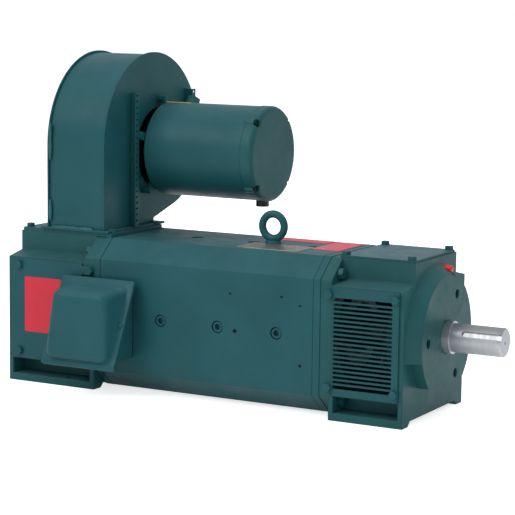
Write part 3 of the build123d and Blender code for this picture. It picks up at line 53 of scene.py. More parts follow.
# Surfaces
def skin(name, points, material, body="housing", ring_u=False, ring_v=False,
         cap_first=False, cap_last=False):
    """Mesh over a grid of points; u runs along axis 0 and v along axis 1.

    Face (i, j) joins points (i, j), (i+1, j), (i+1, j+1), (i, j+1); ring_u and ring_v join
    the last row to the first, and a cap closes the first or last column with one face.
    """
    nu, nv = points.shape[:2]
    verts = points.reshape(-1, 3)
    i = np.arange(nu if ring_u else nu - 1)
    j = np.arange(nv if ring_v else nv - 1)
    ii, jj = np.meshgrid(i, j, indexing="ij")
    i2 = (ii + 1) % nu
    j2 = (jj + 1) % nv
    quads = np.stack([ii * nv + jj, i2 * nv + jj, i2 * nv + j2, ii * nv + j2], -1).reshape(-1, 4)
    faces = quads.tolist()
    if cap_first:
        faces.append([int(k) * nv for k in range(nu)][::-1])
    if cap_last:
        faces.append([int(k) * nv + nv - 1 for k in range(nu)])
    mesh = bpy.data.meshes.new(name)
    mesh.from_pydata(verts.tolist(), [], faces)
    mesh.validate()
    mesh.materials.append(material)
    mesh.update()
    piece = bpy.data.objects.new(name, mesh)
    bpy.context.scene.collection.objects.link(piece)
    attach(piece, body)
    return piece


def smooth(piece, angle=40.0):
    """Smooth shading, with edges sharper than the angle kept sharp."""
    mesh = piece.data
    mesh.polygons.foreach_set("use_smooth", np.ones(len(mesh.polygons), dtype=bool))
    mesh.set_sharp_from_angle(angle=np.radians(angle))
    mesh.update()
    return piece


def frame_of(normal, along):
    """Unit axes (a, b, n): n is the normal, a the part of along that is square to it, b = n x a."""
    n = np.array(normal, float)
    n /= np.linalg.norm(n)
    a = np.array(along, float)
    a -= n * a.dot(n)
    a /= np.linalg.norm(a)
    return a, np.cross(n, a), n


def turned(name, centre, normal, profile, material, body="housing", steps=32,
           sides=0.0):
    """Profile of (radius, height) pairs turned about the normal through the centre.

    Point (u, v) = centre + n h(v) + r(v) (cos u a + sin u b); sides gives a many-sided rim:
    the radius is divided by cos of the angle from the middle of the nearest side.
    """
    a, b, n = frame_of(normal, (0.31, 0.17, 1.0) if abs(normal[2]) < 0.9 else (1.0, 0.2, 0.0))
    u = np.linspace(0, 2 * np.pi, steps, endpoint=False)[:, None]
    r, h = np.array(profile, float).T
    reach = np.ones_like(u)
    if sides:
        half = np.pi / sides
        reach = np.cos(half) / np.cos((u + half) % (2 * half) - half)
    rr = r[None, :] * reach
    c = np.array(centre, float)
    spoke = np.cos(u)[..., None] * a + np.sin(u)[..., None] * b
    pts = c + n * h[None, :, None] + rr[..., None] * spoke
    closed_low, closed_high = profile[0][0] > 1e-6, profile[-1][0] > 1e-6
    piece = skin(name, pts, material, body, ring_u=True, cap_first=closed_low,
                 cap_last=closed_high)
    return smooth(piece)


def plate(name, centre, normal, along, length, width, thick, corner, material,
          body="housing"):
    """Thin plate with rounded corners and a softened edge.

    The outline is a rounded rectangle at angle u; inset v goes from the foot of the edge over
    its rounding to the middle, and the height is thick times an eased step.
    """
    a, b, n = frame_of(normal, along)
    per = 12
    quarter = np.linspace(0, np.pi / 2, per)
    hx, hy = length / 2 - corner, width / 2 - corner
    ang = np.concatenate([quarter + k * np.pi / 2 for k in range(4)])
    sx = np.repeat([1, -1, -1, 1], per) * hx
    sy = np.repeat([1, 1, -1, -1], per) * hy
    inset = np.array([0.0, 0.0, 0.25, 0.6, 1.0, 3.0])
    rise = np.array([0.0, 0.55, 0.85, 0.97, 1.0, 1.0])
    edge = min(thick, corner * 0.6)
    r = corner - inset * edge
    px = sx[:, None] + np.cos(ang)[:, None] * r[None, :]
    py = sy[:, None] + np.sin(ang)[:, None] * r[None, :]
    hz = thick * rise[None, :]
    c = np.array(centre, float)
    pts = c + px[..., None] * a + py[..., None] * b + hz[..., None] * n
    return smooth(skin(name, pts, material, body, ring_u=True, cap_first=True, cap_last=True))


def bead(name, path, normals, radius, material, pitch=0.004, seed=1, flat=0.6):
    """Weld bead: a low round section carried along a path, with overlapping ripples.

    Radius at length s is radius (1 + 0.16 |sin(pi s / pitch)| + wander), where wander is a sum of
    three sines with seeded phases; the section is squashed towards the surface by flat.
    """
    rng = np.random.default_rng(seed)
    path = np.array(path, float)
    normals = np.array(normals, float)
    seg = np.linalg.norm(np.diff(path, axis=0), axis=1)
    s = np.concatenate([[0], np.cumsum(seg)])
    count = max(8, int(s[-1] / pitch * 4))
    t = np.linspace(0, s[-1], count)
    p = np.stack([np.interp(t, s, path[:, k]) for k in range(3)], -1)
    nn = np.stack([np.interp(t, s, normals[:, k]) for k in range(3)], -1)
    nn /= np.linalg.norm(nn, axis=1)[:, None]
    tan = np.gradient(p, axis=0)
    tan /= np.linalg.norm(tan, axis=1)[:, None]
    side = np.cross(tan, nn)
    phase = rng.uniform(0, 2 * np.pi, 3)
    wander = sum(0.10 * np.sin(2 * np.pi * t / w + f) for w, f in zip((0.011, 0.023, 0.047), phase))
    r = radius * (1 + 0.16 * np.abs(np.sin(np.pi * t / pitch)) + wander)
    ease = np.clip(np.minimum(t, s[-1] - t) / (2 * radius), 0.15, 1) ** 0.5
    r = r * ease
    v = np.linspace(0, 2 * np.pi, 12, endpoint=False)
    pts = (p[:, None, :] + r[:, None, None] * (np.cos(v)[None, :, None] * side[:, None, :]
           + flat * np.sin(v)[None, :, None] * nn[:, None, :]))
    piece = skin(name, pts[::-1], material, "housing", ring_v=True)
    mesh = piece.data
    n, m = pts.shape[:2]
    bm_faces = [list(range(m)), list(range((n - 1) * m, n * m))[::-1]]
    verts = np.empty(len(mesh.vertices) * 3)
    mesh.vertices.foreach_get("co", verts)
    faces = [list(poly.vertices) for poly in mesh.polygons] + bm_faces
    fresh = bpy.data.meshes.new(name)
    fresh.from_pydata(verts.reshape(-1, 3).tolist(), [], faces)
    fresh.materials.append(material)
    fresh.update()
    piece.data = fresh
    bpy.data.meshes.remove(mesh)
    return smooth(piece, 60)


# Materials
class Recipe:
    """Small helper that adds and joins shader nodes of one material."""

    def __init__(self, name):
        self.material = bpy.data.materials.new(name)
        self.material.use_nodes = True
        self.tree = self.material.node_tree
        self.shader = self.tree.nodes["Principled BSDF"]
        self.coords = self.tree.nodes.new("ShaderNodeTexCoord")

    def add(self, kind, **values):
        """New node; each value goes to the node's own property, or else to its input."""
        node = self.tree.nodes.new(kind)
        for key, value in values.items():
            if hasattr(node, key):
                setattr(node, key, value)
            else:
                node.inputs[key.replace("_", " ")].default_value = value
        return node

    def join(self, out, into):
        """Link from an output to an input."""
        self.tree.links.new(out, into)

    def place(self, scale=(1, 1, 1), turn=(0, 0, 0)):
        """Object coordinates, scaled and turned."""
        mapping = self.add("ShaderNodeMapping")
        mapping.inputs["Scale"].default_value = scale
        mapping.inputs["Rotation"].default_value = turn
        self.join(self.coords.outputs["Object"], mapping.inputs["Vector"])
        return mapping.outputs["Vector"]

    def noise(self, scale, detail=4.0, rough=0.55, where=None):
        """Soft noise from 0 to 1 in Object coordinates, or in the coordinates given."""
        node = self.add("ShaderNodeTexNoise", Scale=scale, Detail=detail, Roughness=rough)
        self.join(where or self.coords.outputs["Object"], node.inputs["Vector"])
        return node.outputs["Fac"]

    def ramp(self, value, stops):
        """Colour ramp through the stops (place, linear colour)."""
        node = self.add("ShaderNodeValToRGB")
        ramp = node.color_ramp
        while len(ramp.elements) < len(stops):
            ramp.elements.new(0.5)
        for element, (place, colour) in zip(ramp.elements, stops):
            element.position = place
            element.color = (*colour, 1) if len(colour) == 3 else colour
        self.join(value, node.inputs["Fac"])
        return node.outputs["Color"]

    def span(self, value, low, high, to_low, to_high):
        """Value mapped in a straight line from low..high to to_low..to_high, and held there."""
        node = self.add("ShaderNodeMapRange")
        ends = {"From Min": low, "From Max": high, "To Min": to_low, "To Max": to_high}
        for key, number in ends.items():
            node.inputs[key].default_value = number
        self.join(value, node.inputs["Value"])
        return node.outputs["Result"]

    def mix(self, factor, first, second):
        """Colour between the first and the second."""
        node = self.add("ShaderNodeMix", data_type="RGBA", blend_type="MIX")
        sockets = [s for s in node.inputs if s.type == "RGBA"]
        for socket, value in zip(sockets, (first, second)):
            if isinstance(value, tuple):
                socket.default_value = (*value, 1)
            else:
                self.join(value, socket)
        self.join(factor, node.inputs["Factor"])
        return [s for s in node.outputs if s.type == "RGBA"][0]

    def bump(self, height, strength, distance, under=None):
        """Normal roughened by a height, on top of another normal if one is given."""
        node = self.add("ShaderNodeBump", Strength=strength, Distance=distance)
        self.join(height, node.inputs["Height"])
        if under is not None:
            self.join(under, node.inputs["Normal"])
        return node.outputs["Normal"]


def srgb(r, g, b):
    """Screen colour 0-255 to the linear value a shader wants."""
    c = np.array([r, g, b]) / 255
    return tuple(float(v) for v in np.where(c <= 0.04045, c / 12.92, ((c + 0.055) / 1.055) ** 2.4))


def shade(base, share):
    """Linear colour times a share, with nothing above 1."""
    return tuple(float(v) for v in np.minimum(np.asarray(base) * share, 1))


TEAL = (28, 84, 90)


def paint(name, tone=TEAL, rough=0.42, peel=0.10, grain=0.0, vary=0.10, dust=0.15, wear=True,
          edge=0.0012):
    """Enamel over metal: soft cloudy colour, orange peel, cast grain, dust on upward faces, small chips.

    edge is the radius over which a Bevel node rounds the shading of the corners.
    """
    r = Recipe(name)
    base = np.array(srgb(*tone))
    dark = shade(base, 1 - vary)
    lite = shade(base + 0.002 / (1 + vary), 1 + vary)
    cloud = r.noise(9.0, 3.0, 0.5)
    colour = r.ramp(cloud, [(0.32, dark), (0.68, lite)])
    speck = r.noise(420.0, 2.0, 0.6)
    fleck = r.span(speck, 0.30, 0.42, 0.55, 0.0)
    colour = r.mix(fleck, colour, shade(base, 0.72))
    geometry = r.add("ShaderNodeNewGeometry")
    split = r.add("ShaderNodeSeparateXYZ")
    r.join(geometry.outputs["Normal"], split.inputs["Vector"])
    up = r.span(split.outputs["Z"], 0.55, 1.0, 0.0, 1.0)
    veil = r.span(r.noise(38.0, 5.0, 0.7), 0.38, 0.75, 0.35, 1.0)
    lay = r.add("ShaderNodeMath", operation="MULTIPLY")
    r.join(up, lay.inputs[0])
    r.join(veil, lay.inputs[1])
    amount = r.add("ShaderNodeMath", operation="MULTIPLY")
    r.join(lay.outputs[0], amount.inputs[0])
    amount.inputs[1].default_value = dust
    colour = r.mix(amount.outputs[0], colour, srgb(126, 140, 150))
    if wear:
        chips = r.span(r.noise(170.0, 6.0, 0.75), 0.735, 0.745, 0.0, 1.0)
        colour = r.mix(chips, colour, srgb(92, 104, 104))
    r.join(colour, r.shader.inputs["Base Color"])
    gloss = r.span(r.noise(26.0, 4.0, 0.6), 0.3, 0.7, rough - 0.06, rough + 0.09)
    r.join(gloss, r.shader.inputs["Roughness"])
    r.shader.inputs["Specular IOR Level"].default_value = 0.22
    soft = r.add("ShaderNodeBevel", samples=4)
    soft.inputs["Radius"].default_value = edge
    normal = r.bump(r.noise(650.0, 2.0, 0.5), peel, 0.0006, soft.outputs["Normal"])
    if grain:
        normal = r.bump(r.noise(240.0, 5.0, 0.65), grain, 0.0012, normal)
        normal = r.bump(r.noise(34.0, 3.0, 0.5), grain * 0.5, 0.004, normal)
    r.join(normal, r.shader.inputs["Normal"])
    return r.material


def turned_steel(name, tone=(202, 204, 208), rough=0.4, pitch=5200.0):
    """Lathe-turned steel: fine rings square to X, bright and dull bands, faint oil stains.

    Below X 0.38 it fades to near black: painted shade for the shaft inside the bracket and bearings.
    """
    r = Recipe(name)
    lines = r.noise(1.0, 3.0, 0.6, r.place((pitch, 6.0, 6.0)))
    broad = r.noise(1.0, 2.0, 0.5, r.place((160.0, 3.0, 3.0)))
    base = np.array(srgb(*tone))
    colour = r.ramp(lines, [(0.3, shade(base, 0.82)), (0.7, shade(base, 1))])
    stain = r.span(r.noise(60.0, 4.0, 0.6), 0.66, 0.8, 0.0, 0.15)
    colour = r.mix(stain, colour, srgb(120, 112, 104))
    split = r.add("ShaderNodeSeparateXYZ")
    r.join(r.place(), split.inputs["Vector"])
    # Painted shade: near black below X 0.38, where the shaft sits inside the bracket
    colour = r.mix(r.span(split.outputs["X"], 0.372, 0.388, 0.9, 0.0), colour, srgb(40, 40, 42))
    r.join(colour, r.shader.inputs["Base Color"])
    r.shader.inputs["Metallic"].default_value = 1.0
    r.join(r.span(broad, 0.3, 0.7, rough - 0.06, rough + 0.12), r.shader.inputs["Roughness"])
    r.join(r.bump(lines, 0.1, 0.0001), r.shader.inputs["Normal"])
    return r.material


def plain_metal(name, tone, rough=0.4, metallic=1.0, grain=80.0, bump=0.15):
    """Rolled or cast metal with cloudy tone, fine grain and uneven gloss."""
    r = Recipe(name)
    base = np.array(srgb(*tone))
    colour = r.ramp(r.noise(grain, 5.0, 0.6), [(0.3, shade(base, 0.75)), (0.72, shade(base, 1.15))])
    r.join(colour, r.shader.inputs["Base Color"])
    r.shader.inputs["Metallic"].default_value = metallic
    r.join(r.span(r.noise(grain * 2.3, 3.0, 0.5), 0.3, 0.7, rough - 0.08, rough + 0.12),
           r.shader.inputs["Roughness"])
    r.join(r.bump(r.noise(grain * 9, 3.0, 0.6), bump, 0.0005), r.shader.inputs["Normal"])
    return r.material


def label_film(name, tone, edge, rough=0.42, scuff=0.5):
    """Printed film or enamelled plate without print: even colour, faint fading, fine scratches."""
    r = Recipe(name)
    base = np.array(srgb(*tone))
    fade = r.noise(22.0, 4.0, 0.6)
    colour = r.ramp(fade, [(0.3, shade(base, 0.9)), (0.7, shade(base, 1.08))])
    hair = r.noise(1.0, 3.0, 0.7, r.place((900.0, 60.0, 200.0), (0.2, 0.1, 0.5)))
    scratch = r.span(hair, 0.70, 0.76, 0.0, scuff)
    colour = r.mix(scratch, colour, srgb(*edge))
    r.join(colour, r.shader.inputs["Base Color"])
    r.join(r.span(fade, 0.3, 0.7, rough - 0.05, rough + 0.1), r.shader.inputs["Roughness"])
    r.join(r.bump(hair, 0.05, 0.0003), r.shader.inputs["Normal"])
    return r.material


def brushed_plate(name, tone, rough=0.34):
    """Bare rating plate: metal brushed along X, with a patchy grey film."""
    r = Recipe(name)
    lines = r.noise(1.0, 4.0, 0.7, r.place((40.0, 2400.0, 2400.0)))
    base = np.array(srgb(*tone))
    colour = r.ramp(lines, [(0.3, shade(base, 0.7)), (0.75, shade(base, 1.1))])
    film = r.span(r.noise(45.0, 5.0, 0.65), 0.45, 0.7, 0.0, 0.5)
    colour = r.mix(film, colour, srgb(96, 100, 92))
    r.join(colour, r.shader.inputs["Base Color"])
    r.shader.inputs["Metallic"].default_value = 0.85
    r.join(r.span(lines, 0.3, 0.7, rough - 0.05, rough + 0.15), r.shader.inputs["Roughness"])
    r.join(r.bump(lines, 0.12, 0.0003), r.shader.inputs["Normal"])
    return r.material


def bars_of_copper(name):
    """Commutator copper: bright track with dark mica lines between the bars."""
    r = Recipe(name)
    split = r.add("ShaderNodeSeparateXYZ")
    place = r.place()
    place.node.inputs["Location"].default_value = (0, 0, -SHAFT_Z)
    r.join(place, split.inputs["Vector"])
    turn = r.add("ShaderNodeMath", operation="ARCTAN2")
    r.join(split.outputs["Y"], turn.inputs[0])
    r.join(split.outputs["Z"], turn.inputs[1])
    step = r.add("ShaderNodeMath", operation="MULTIPLY")
    r.join(turn.outputs[0], step.inputs[0])
    step.inputs[1].default_value = BARS / (2 * np.pi)
    saw = r.add("ShaderNodeMath", operation="FRACT")
    r.join(step.outputs[0], saw.inputs[0])
    mica = srgb(30, 26, 24)
    line = r.ramp(saw.outputs[0], [(0.0, mica), (0.12, srgb(186, 112, 76)),
                                   (0.9, srgb(198, 124, 84)), (1.0, mica)])
    r.join(line, r.shader.inputs["Base Color"])
    r.shader.inputs["Metallic"].default_value = 1.0
    r.join(r.span(r.noise(90.0, 3.0, 0.5), 0.3, 0.7, 0.2, 0.4), r.shader.inputs["Roughness"])
    return r.material


def moulded(name, tone, rough=0.38):
    """Moulded plastic or rubber: near-even colour, fine texture, slight bloom."""
    r = Recipe(name)
    base = np.array(srgb(*tone))
    lite = shade(base + 0.003 / 1.08, 1.08)
    colour = r.ramp(r.noise(60.0, 4.0, 0.55), [(0.3, shade(base, 0.86)), (0.7, lite)])
    r.join(colour, r.shader.inputs["Base Color"])
    r.join(r.span(r.noise(140.0, 3.0, 0.5), 0.3, 0.7, rough - 0.05, rough + 0.1),
           r.shader.inputs["Roughness"])
    r.join(r.bump(r.noise(900.0, 2.0, 0.5), 0.08, 0.0004), r.shader.inputs["Normal"])
    return r.material


frame_paint = paint("frame_paint", peel=0.12, grain=0.0, vary=0.10)
casting_paint = paint("casting_paint", (30, 85, 88), peel=0.12, grain=0.16, vary=0.12, edge=0.003)
sheet_paint = paint("sheet_paint", peel=0.09, grain=0.0, vary=0.08, edge=0.0022)
hardware_paint = paint("hardware_paint", peel=0.14, grain=0.08, vary=0.14, wear=False)
# Weld bead paint, lighter than the frame teal: partly the paint and partly a painted highlight on the
# beads
weld_paint_highlight = paint("weld_paint_highlight", (44, 98, 104), peel=0.1, vary=0.2, wear=False)
plate_paint = paint("plate_paint", peel=0.10, grain=0.05, vary=0.10, dust=0.3)
shaft_steel = turned_steel("shaft_steel")
bearing_steel = plain_metal("bearing_steel", (168, 170, 174), 0.25)
core_iron = plain_metal("core_iron", (44, 43, 42), 0.6)
coil_varnish = plain_metal("coil_varnish", (34, 22, 17), 0.55, 0.0)
commutator_copper = bars_of_copper("commutator_copper")
holder_brass = plain_metal("holder_brass", (188, 150, 84), 0.35)
carbon = moulded("carbon", (34, 34, 36), 0.6)
plug_red = moulded("plug_red", (226, 34, 44), 0.3)
fitting_black = moulded("fitting_black", (22, 24, 25), 0.42)
screw_black = plain_metal("screw_black", (34, 40, 42), 0.42, 0.8)
screw_zinc = plain_metal("screw_zinc", (196, 200, 202), 0.3)
wheel_zinc = plain_metal("wheel_zinc", (150, 156, 160), 0.38)
red_film = label_film("red_film", (214, 28, 56), (240, 150, 160))
red_plate_film = label_film("red_plate_film", (206, 62, 78), (236, 190, 190), 0.34)
yellow_film = label_film("yellow_film", (228, 190, 84), (240, 228, 190))
rating_metal = brushed_plate("rating_metal", (182, 174, 164))

finish_of = {
    "yoke_frame": frame_paint, "drive_bracket": casting_paint, "comm_bracket": casting_paint,
    "scroll_wrap": sheet_paint, "scroll_motor_plate": sheet_paint, "scroll_back_plate": sheet_paint,
    "scroll_lip": sheet_paint, "inlet_rails": sheet_paint, "motor_spider": hardware_paint,
    "adapter_plate": plate_paint, "neck_cover": plate_paint,
    "louvre_panel_near": sheet_paint, "louvre_panel_far": sheet_paint,
    "comm_cover_near": sheet_paint, "comm_cover_far": sheet_paint,
    "terminal_base": sheet_paint, "terminal_cover": sheet_paint,
    "fan_shell": sheet_paint, "fan_front_bell": casting_paint, "fan_end_bell": casting_paint,
    "fan_lead_outlet": hardware_paint, "eyebolt": hardware_paint,
    "cover_bolts": hardware_paint, "neck_bolts": hardware_paint, "adapter_bolts": hardware_paint,
    "bracket_bolts": hardware_paint, "terminal_screws": hardware_paint,
    "pole_bolts": hardware_paint, "cap_screws": screw_black, "fan_lug_screws": screw_black,
    "fan_drain_plug": fitting_black, "terminal_gasket": fitting_black, "terminal_strip": fitting_black,
    "grease_plug": plug_red, "motor_shaft": shaft_steel, "fan_shaft": shaft_steel,
    "drive_bearing_outer": bearing_steel, "drive_bearing_inner": bearing_steel,
    "comm_bearing_outer": bearing_steel, "comm_bearing_inner": bearing_steel,
    "fan_bearings_outer": bearing_steel, "fan_bearings_inner": bearing_steel,
    "brush_studs": bearing_steel, "brush_boxes": holder_brass, "bearing_cap": core_iron,
    "armature_core": core_iron, "main_poles": core_iron, "interpoles": core_iron,
    "rocker_ring": core_iron, "fan_stator": core_iron, "fan_rotor": core_iron,
    "field_coils": coil_varnish, "interpole_coils": coil_varnish, "armature_winding": coil_varnish,
    "commutator": commutator_copper, "fan_wheel": wheel_zinc,
    "brush_1": carbon, "brush_2": carbon, "brush_3": carbon, "brush_4": carbon,
}
for name, node in nodes.items():
    node.data.materials.clear()
    node.data.materials.append(finish_of[name])


# Plates and labels
def flat_piece(name, x0, x1, y0, y1, z, thick, corner, material):
    """Plate lying on the frame's top between two corners."""
    return plate(name, ((x0 + x1) / 2, (y0 + y1) / 2, z), (0, 0, 1), (1, 0, 0), x1 - x0, y1 - y0,
                 thick, corner, material)


flat_piece("rating_plate", 0.030, 0.145, -0.070, -0.004, FRAME_TOP, PLATE_THICK, 0.003, rating_metal)
flat_piece("red_top_plate", 0.148, 0.200, -0.025, 0.078, FRAME_TOP, PLATE_THICK, 0.003,
           red_plate_film)
flat_piece("red_top_strip", 0.042, 0.141, 0.050, 0.0825, FRAME_TOP, 0.0006, 0.002, red_plate_film)
plate("red_side_label", (-0.3216, COVER_Y, 0.1385), (0, -1, 0), (1, 0, 0), 0.076, 0.097, 0.0004,
      0.002, red_film)


def frame_seam(name, x, width, proud, material):
    """Flat band round the frame: the eight corners at two stations, inside and outside the skin.

    Corner k is (flat, high) or (wide, side) with its sign pair; the band stands proud of it.
    """
    corners = [(84.0, -128.65), (123.6, -95.65), (123.6, 95.65), (84.0, 128.65)]
    corners += [(-y, -z) for y, z in corners]
    ring = np.array(corners) * MM
    swell = 1 + proud / 0.125
    section = [(x, 0.998), (x, swell), (x + width, swell), (x + width, 0.998)]
    pts = np.stack([np.stack([np.full(8, sx), ring[:, 0] * k, SHAFT_Z + ring[:, 1] * k], -1)
                    for sx, k in section], 1)
    return skin(name, pts, material, ring_u=True, ring_v=True)


seam_dark = paint("seam_dark", (12, 42, 46), wear=False, dust=0.0)
seam_faint = paint("seam_faint", (22, 70, 75), wear=False)
frame_seam("frame_seam_drive", 0.2032, 0.0011, 0.0003, seam_faint)
frame_seam("frame_seam_comm", -0.2048, 0.0011, 0.0003, seam_dark)


def rivet(name, centre, normal, radius, height, material):
    """Low round head: the profile is a quarter ellipse from the rim up to the axis."""
    v = np.linspace(0, np.pi / 2, 7)
    profile = [(radius, -0.0002)] + [(radius * np.cos(a), height * np.sin(a)) for a in v]
    return turned(name, centre, normal, profile, material, steps=20)


for number, (x, y) in enumerate([(0.0355, -0.031), (0.1385, -0.031)]):
    rivet(f"plate_rivet_{number}", (x, y, FRAME_TOP + PLATE_THICK), (0, 0, 1), 0.0022, 0.0012,
          screw_zinc)
for number, (x, y) in enumerate([(0.168, -0.016), (0.168, 0.072)]):
    rivet(f"red_plate_rivet_{number}", (x, y, FRAME_TOP + PLATE_THICK), (0, 0, 1), 0.0024, 0.0014,
          screw_zinc)


def drilled(name, centre, normal, radius):
    """Small drilled hole as it shows: a dark cup with a thin bright rim, turned about the normal; its
    near-black finish is painted shade standing in for the hole's depth.
    """
    profile = [(radius * 1.25, 0.0), (radius * 1.2, 0.00025), (radius, 0.00025), (radius * 0.9, 0.0001),
               (0.0, 0.0001)]
    return turned(name, centre, normal, profile, painted_hole_shade, steps=20)


# Near-black finish of the holes: painted shade for their insides
painted_hole_shade = paint("painted_hole_shade", (5, 20, 22), wear=False, dust=0.0)
for number, (x, z, radius) in enumerate([(0.0597, 0.1299, 0.0028), (0.0504, 0.1917, 0.0016),
                                         (0.1463, 0.1943, 0.0018), (0.1803, 0.1826, 0.0016),
                                         (0.1815, 0.084, 0.002)]):
    drilled(f"frame_hole_{number}", (x, SIDE_Y, z), (0, -1, 0), radius)

# Weld beads of the blower housing: back corner of the wrap, and the foot of the wrap on its lip
WRAP_Y = -0.0825
BACK_X = -0.3358
seam_runs = [(0.389, 0.455), (0.282, 0.320)]
for number, (low, high) in enumerate(seam_runs):
    heights = np.linspace(low, high, 9)
    bead(f"corner_weld_{number}", [(BACK_X, WRAP_Y, z) for z in heights], [(-0.3, -1, 0)] * 9, 0.0034,
         weld_paint_highlight, seed=number + 3)
foot_x = np.linspace(-0.3316, -0.2456, 12)
bead("foot_weld", [(x, -0.0845, 0.2722) for x in foot_x], [(0, -0.7, 0.7)] * 12, 0.0034,
     weld_paint_highlight, seed=9)


def barrel_patch(name, x0, x1, turn0, turn1, radius, material):
    """Film laid on the blower motor's barrel: points (x, turn) at the radius, closed 0.2 mm below.

    turn is counted from straight up towards -Y; the section goes out along the film and back.
    """
    t = np.radians(np.linspace(turn0, turn1, 24))
    t = np.concatenate([t, t[::-1]])[:, None]
    r = np.concatenate([np.full(24, radius), np.full(24, radius - 0.0002)])[:, None]
    x = np.array([[x1, x0]]) + np.zeros_like(t)
    pts = np.stack([x, BLOWER_Y - np.sin(t) * r + 0 * x, BLOWER_Z + np.cos(t) * r + 0 * x], -1)
    return smooth(skin(name, pts, material, ring_u=True, cap_first=True, cap_last=True))


barrel_patch("barrel_film", -0.2096, -0.1546, -38.0, 4.0, BARREL_R, yellow_film)


def drawn_cover(name, stations):
    """Drawn sheet pan on the sloping joint, with a flat lip and drafted sides.

    Each station is (top y, top z, low y, low z, half width at top, half width at low, corner
    radius) in mm. Its outline is a rounded rectangle between the two points, whose half width
    runs evenly from one value to the other; the surface joins the outlines in order.
    """
    per = 10
    ang = np.concatenate([np.linspace(0, np.pi / 2, per) + k * np.pi / 2 for k in range(4)])
    sx = np.repeat([1, -1, -1, 1], per)
    sb = np.repeat([1, 1, -1, -1], per)
    top_y, top_z, low_y, low_z, wide_top, wide_low, r = np.array(stations, float).T
    half = np.hypot(top_y - low_y, top_z - low_z) / 2
    mean = (wide_top + wide_low) / 2
    across = sx[:, None] * (mean - r) + np.cos(ang)[:, None] * r
    along = sb[:, None] * (half - r) + np.sin(ang)[:, None] * r
    share = (along / half + 1) / 2
    x = across * (wide_low + (wide_top - wide_low) * share) / mean + TBOX_X_MM
    y = low_y + (top_y - low_y) * share
    z = low_z + (top_z - low_z) * share
    pts = np.stack([x, y, z], -1) * MM
    piece = smooth(skin(name, pts, sheet_paint, ring_u=True, cap_first=True, cap_last=True), 35)
    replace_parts(piece, "terminal_cover")
    return piece


# Joint from (-135.0, 197.7) down to (-202.6, 54.6); out of it is towards (-0.904, 0.427)
drawn_cover("drawn_cover", [
    (-135.0, 197.7, -202.6, 54.6, 73.0, 73.0, 4.0),
    (-137.2, 198.7, -204.8, 55.6, 73.0, 73.0, 4.0),
    (-138.1, 198.1, -204.9, 56.8, 72.2, 72.2, 3.5),
    (-141.8, 190.4, -201.3, 64.5, 63.5, 63.5, 12.0),
    (-145.0, 188.4, -202.6, 66.6, 62.0, 62.5, 13.0),
    (-165.0, 186.6, -204.4, 67.0, 59.0, 62.0, 14.0),
    (-188.0, 184.2, -206.2, 67.6, 54.5, 61.4, 14.0),
    (-195.5, 182.0, -208.6, 69.0, 52.0, 60.2, 13.0),
    (-200.6, 178.0, -210.4, 72.0, 48.8, 57.2, 10.5),
    (-202.6, 173.0, -211.0, 76.0, 44.6, 53.0, 7.0),
    (-203.2, 167.0, -211.1, 82.0, 40.0, 48.0, 4.0),
])

# Red cap over the grease hole of the drive-end bracket
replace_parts(turned("grease_cap", (0.3644, 0.0235, 0.24135), (1, 0, 0),
                   [(0.0065, 0.0), (0.0065, 0.014), (0.0061, 0.0165), (0.0048, 0.0182), (0.002, 0.019),
                    (0.0, 0.0191)], plug_red), "grease_plug")

# Camera, light and stage
scene = bpy.context.scene
az, el, roll = np.radians((28.4705, 7.9186, 0.748))
back = np.array((np.sin(az) * np.cos(el), -np.cos(az) * np.cos(el), np.sin(el)))
right = np.array((np.cos(az), np.sin(az), 0.0))
above = np.cross(back, right)
right_r = right * np.cos(roll) + above * np.sin(roll)
above_r = -right * np.sin(roll) + above * np.cos(roll)
cam_data = bpy.data.cameras.new("camera")
cam_data.lens = 134.27
cam_data.sensor_width = 36.0
cam_data.shift_x = 0.0058
cam_data.shift_y = -0.0019
cam_data.clip_end = 50.0
camera = bpy.data.objects.new("camera", cam_data)
matrix = Matrix.Identity(4)
for column, axis in enumerate((right_r, above_r, back)):
    for row in range(3):
        matrix[row][column] = float(axis[row])
matrix.translation = Vector((1.5759, -2.8537, 0.6888))
camera.matrix_world = matrix
scene.collection.objects.link(camera)
scene.camera = camera


def area_light(name, place, aim, size, power, colour=(1, 1, 1)):
    """Large soft lamp that looks from its place at a point."""
    data = bpy.data.lights.new(name, "AREA")
    data.shape = "RECTANGLE"
    data.size, data.size_y = size
    data.energy = power
    data.color = colour
    lamp = bpy.data.objects.new(name, data)
    lamp.location = place
    lamp.rotation_euler = (Vector(aim) - Vector(place)).to_track_quat("-Z", "Y").to_euler()
    scene.collection.objects.link(lamp)
    return lamp


area_light("key", (-1.2, -2.4, 2.6), (0, 0, 0.2), (2.2, 2.0), 47, (1.0, 1.0, 0.98))
top_lamp = area_light("top", (0.3, 0.2, 3.0), (0, 0, 0.2), (2.6, 2.6), 30)
top_lamp.visible_glossy = False
side_lamp = area_light("side", (2.6, -2.0, 0.9), (0, 0, 0.25), (1.6, 2.0), 11)
side_lamp.visible_glossy = False
back_lamp = area_light("behind", (-1.5, 3.0, 1.6), (0, 0, 0.2), (2.0, 2.0), 26)
back_lamp.visible_glossy = False

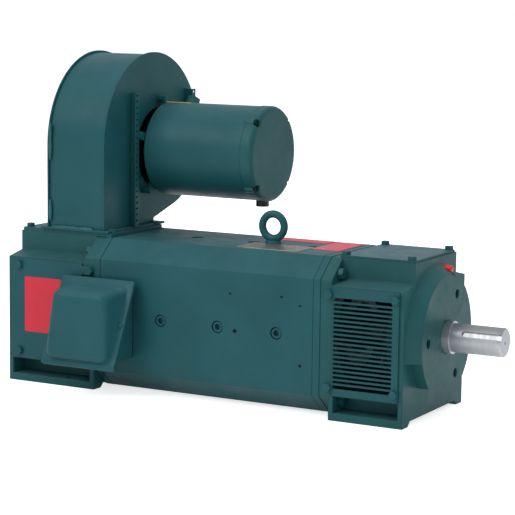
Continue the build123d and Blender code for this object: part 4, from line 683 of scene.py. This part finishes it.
world = bpy.data.worlds.new("world")
world.use_nodes = True
scene.world = world
sky = world.node_tree
background = sky.nodes["Background"]
background.inputs["Color"].default_value = (0.86, 0.88, 0.90, 1)
background.inputs["Strength"].default_value = 0.56
bright = sky.nodes.new("ShaderNodeBackground")
bright.inputs["Color"].default_value = (1, 1, 1, 1)
bright.inputs["Strength"].default_value = 1.0
rays = sky.nodes.new("ShaderNodeLightPath")
chooser = sky.nodes.new("ShaderNodeMixShader")
sky.links.new(rays.outputs["Is Camera Ray"], chooser.inputs["Fac"])
sky.links.new(background.outputs[0], chooser.inputs[1])
sky.links.new(bright.outputs[0], chooser.inputs[2])
sky.links.new(chooser.outputs[0], sky.nodes["World Output"].inputs["Surface"])


def floor_finish():
    """Matt near-white floor that reads white to the camera away from the object's shadow."""
    r = Recipe("floor_finish")
    tone = r.ramp(r.noise(3.0, 2.0, 0.5), [(0.3, (0.90, 0.90, 0.90)), (0.7, (0.93, 0.93, 0.93))])
    r.join(tone, r.shader.inputs["Base Color"])
    r.shader.inputs["Roughness"].default_value = 0.9
    r.shader.inputs["Specular IOR Level"].default_value = 0.1
    glow = r.add("ShaderNodeEmission", Strength=0.72)
    none = r.add("ShaderNodeEmission", Strength=0.0)
    path = r.add("ShaderNodeLightPath")
    seen = r.add("ShaderNodeMath", operation="MAXIMUM")
    r.join(path.outputs["Is Camera Ray"], seen.inputs[0])
    mirrored = r.add("ShaderNodeMath", operation="MULTIPLY")
    r.join(path.outputs["Is Glossy Ray"], mirrored.inputs[0])
    mirrored.inputs[1].default_value = 0.3
    r.join(mirrored.outputs[0], seen.inputs[1])
    pick = r.add("ShaderNodeMixShader")
    r.join(seen.outputs[0], pick.inputs["Fac"])
    r.join(none.outputs[0], pick.inputs[1])
    r.join(glow.outputs[0], pick.inputs[2])
    both = r.add("ShaderNodeAddShader")
    r.join(r.shader.outputs[0], both.inputs[0])
    r.join(pick.outputs[0], both.inputs[1])
    r.join(both.outputs[0], r.tree.nodes["Material Output"].inputs["Surface"])
    return r.material


floor_mesh = bpy.data.meshes.new("floor")
floor_mesh.from_pydata([(-14, -14, 0), (14, -14, 0), (14, 14, 0), (-14, 14, 0)], [], [(0, 1, 2, 3)])
floor_mesh.materials.append(floor_finish())
floor = bpy.data.objects.new("floor", floor_mesh)
scene.collection.objects.link(floor)
scene.view_settings.view_transform = "Standard"
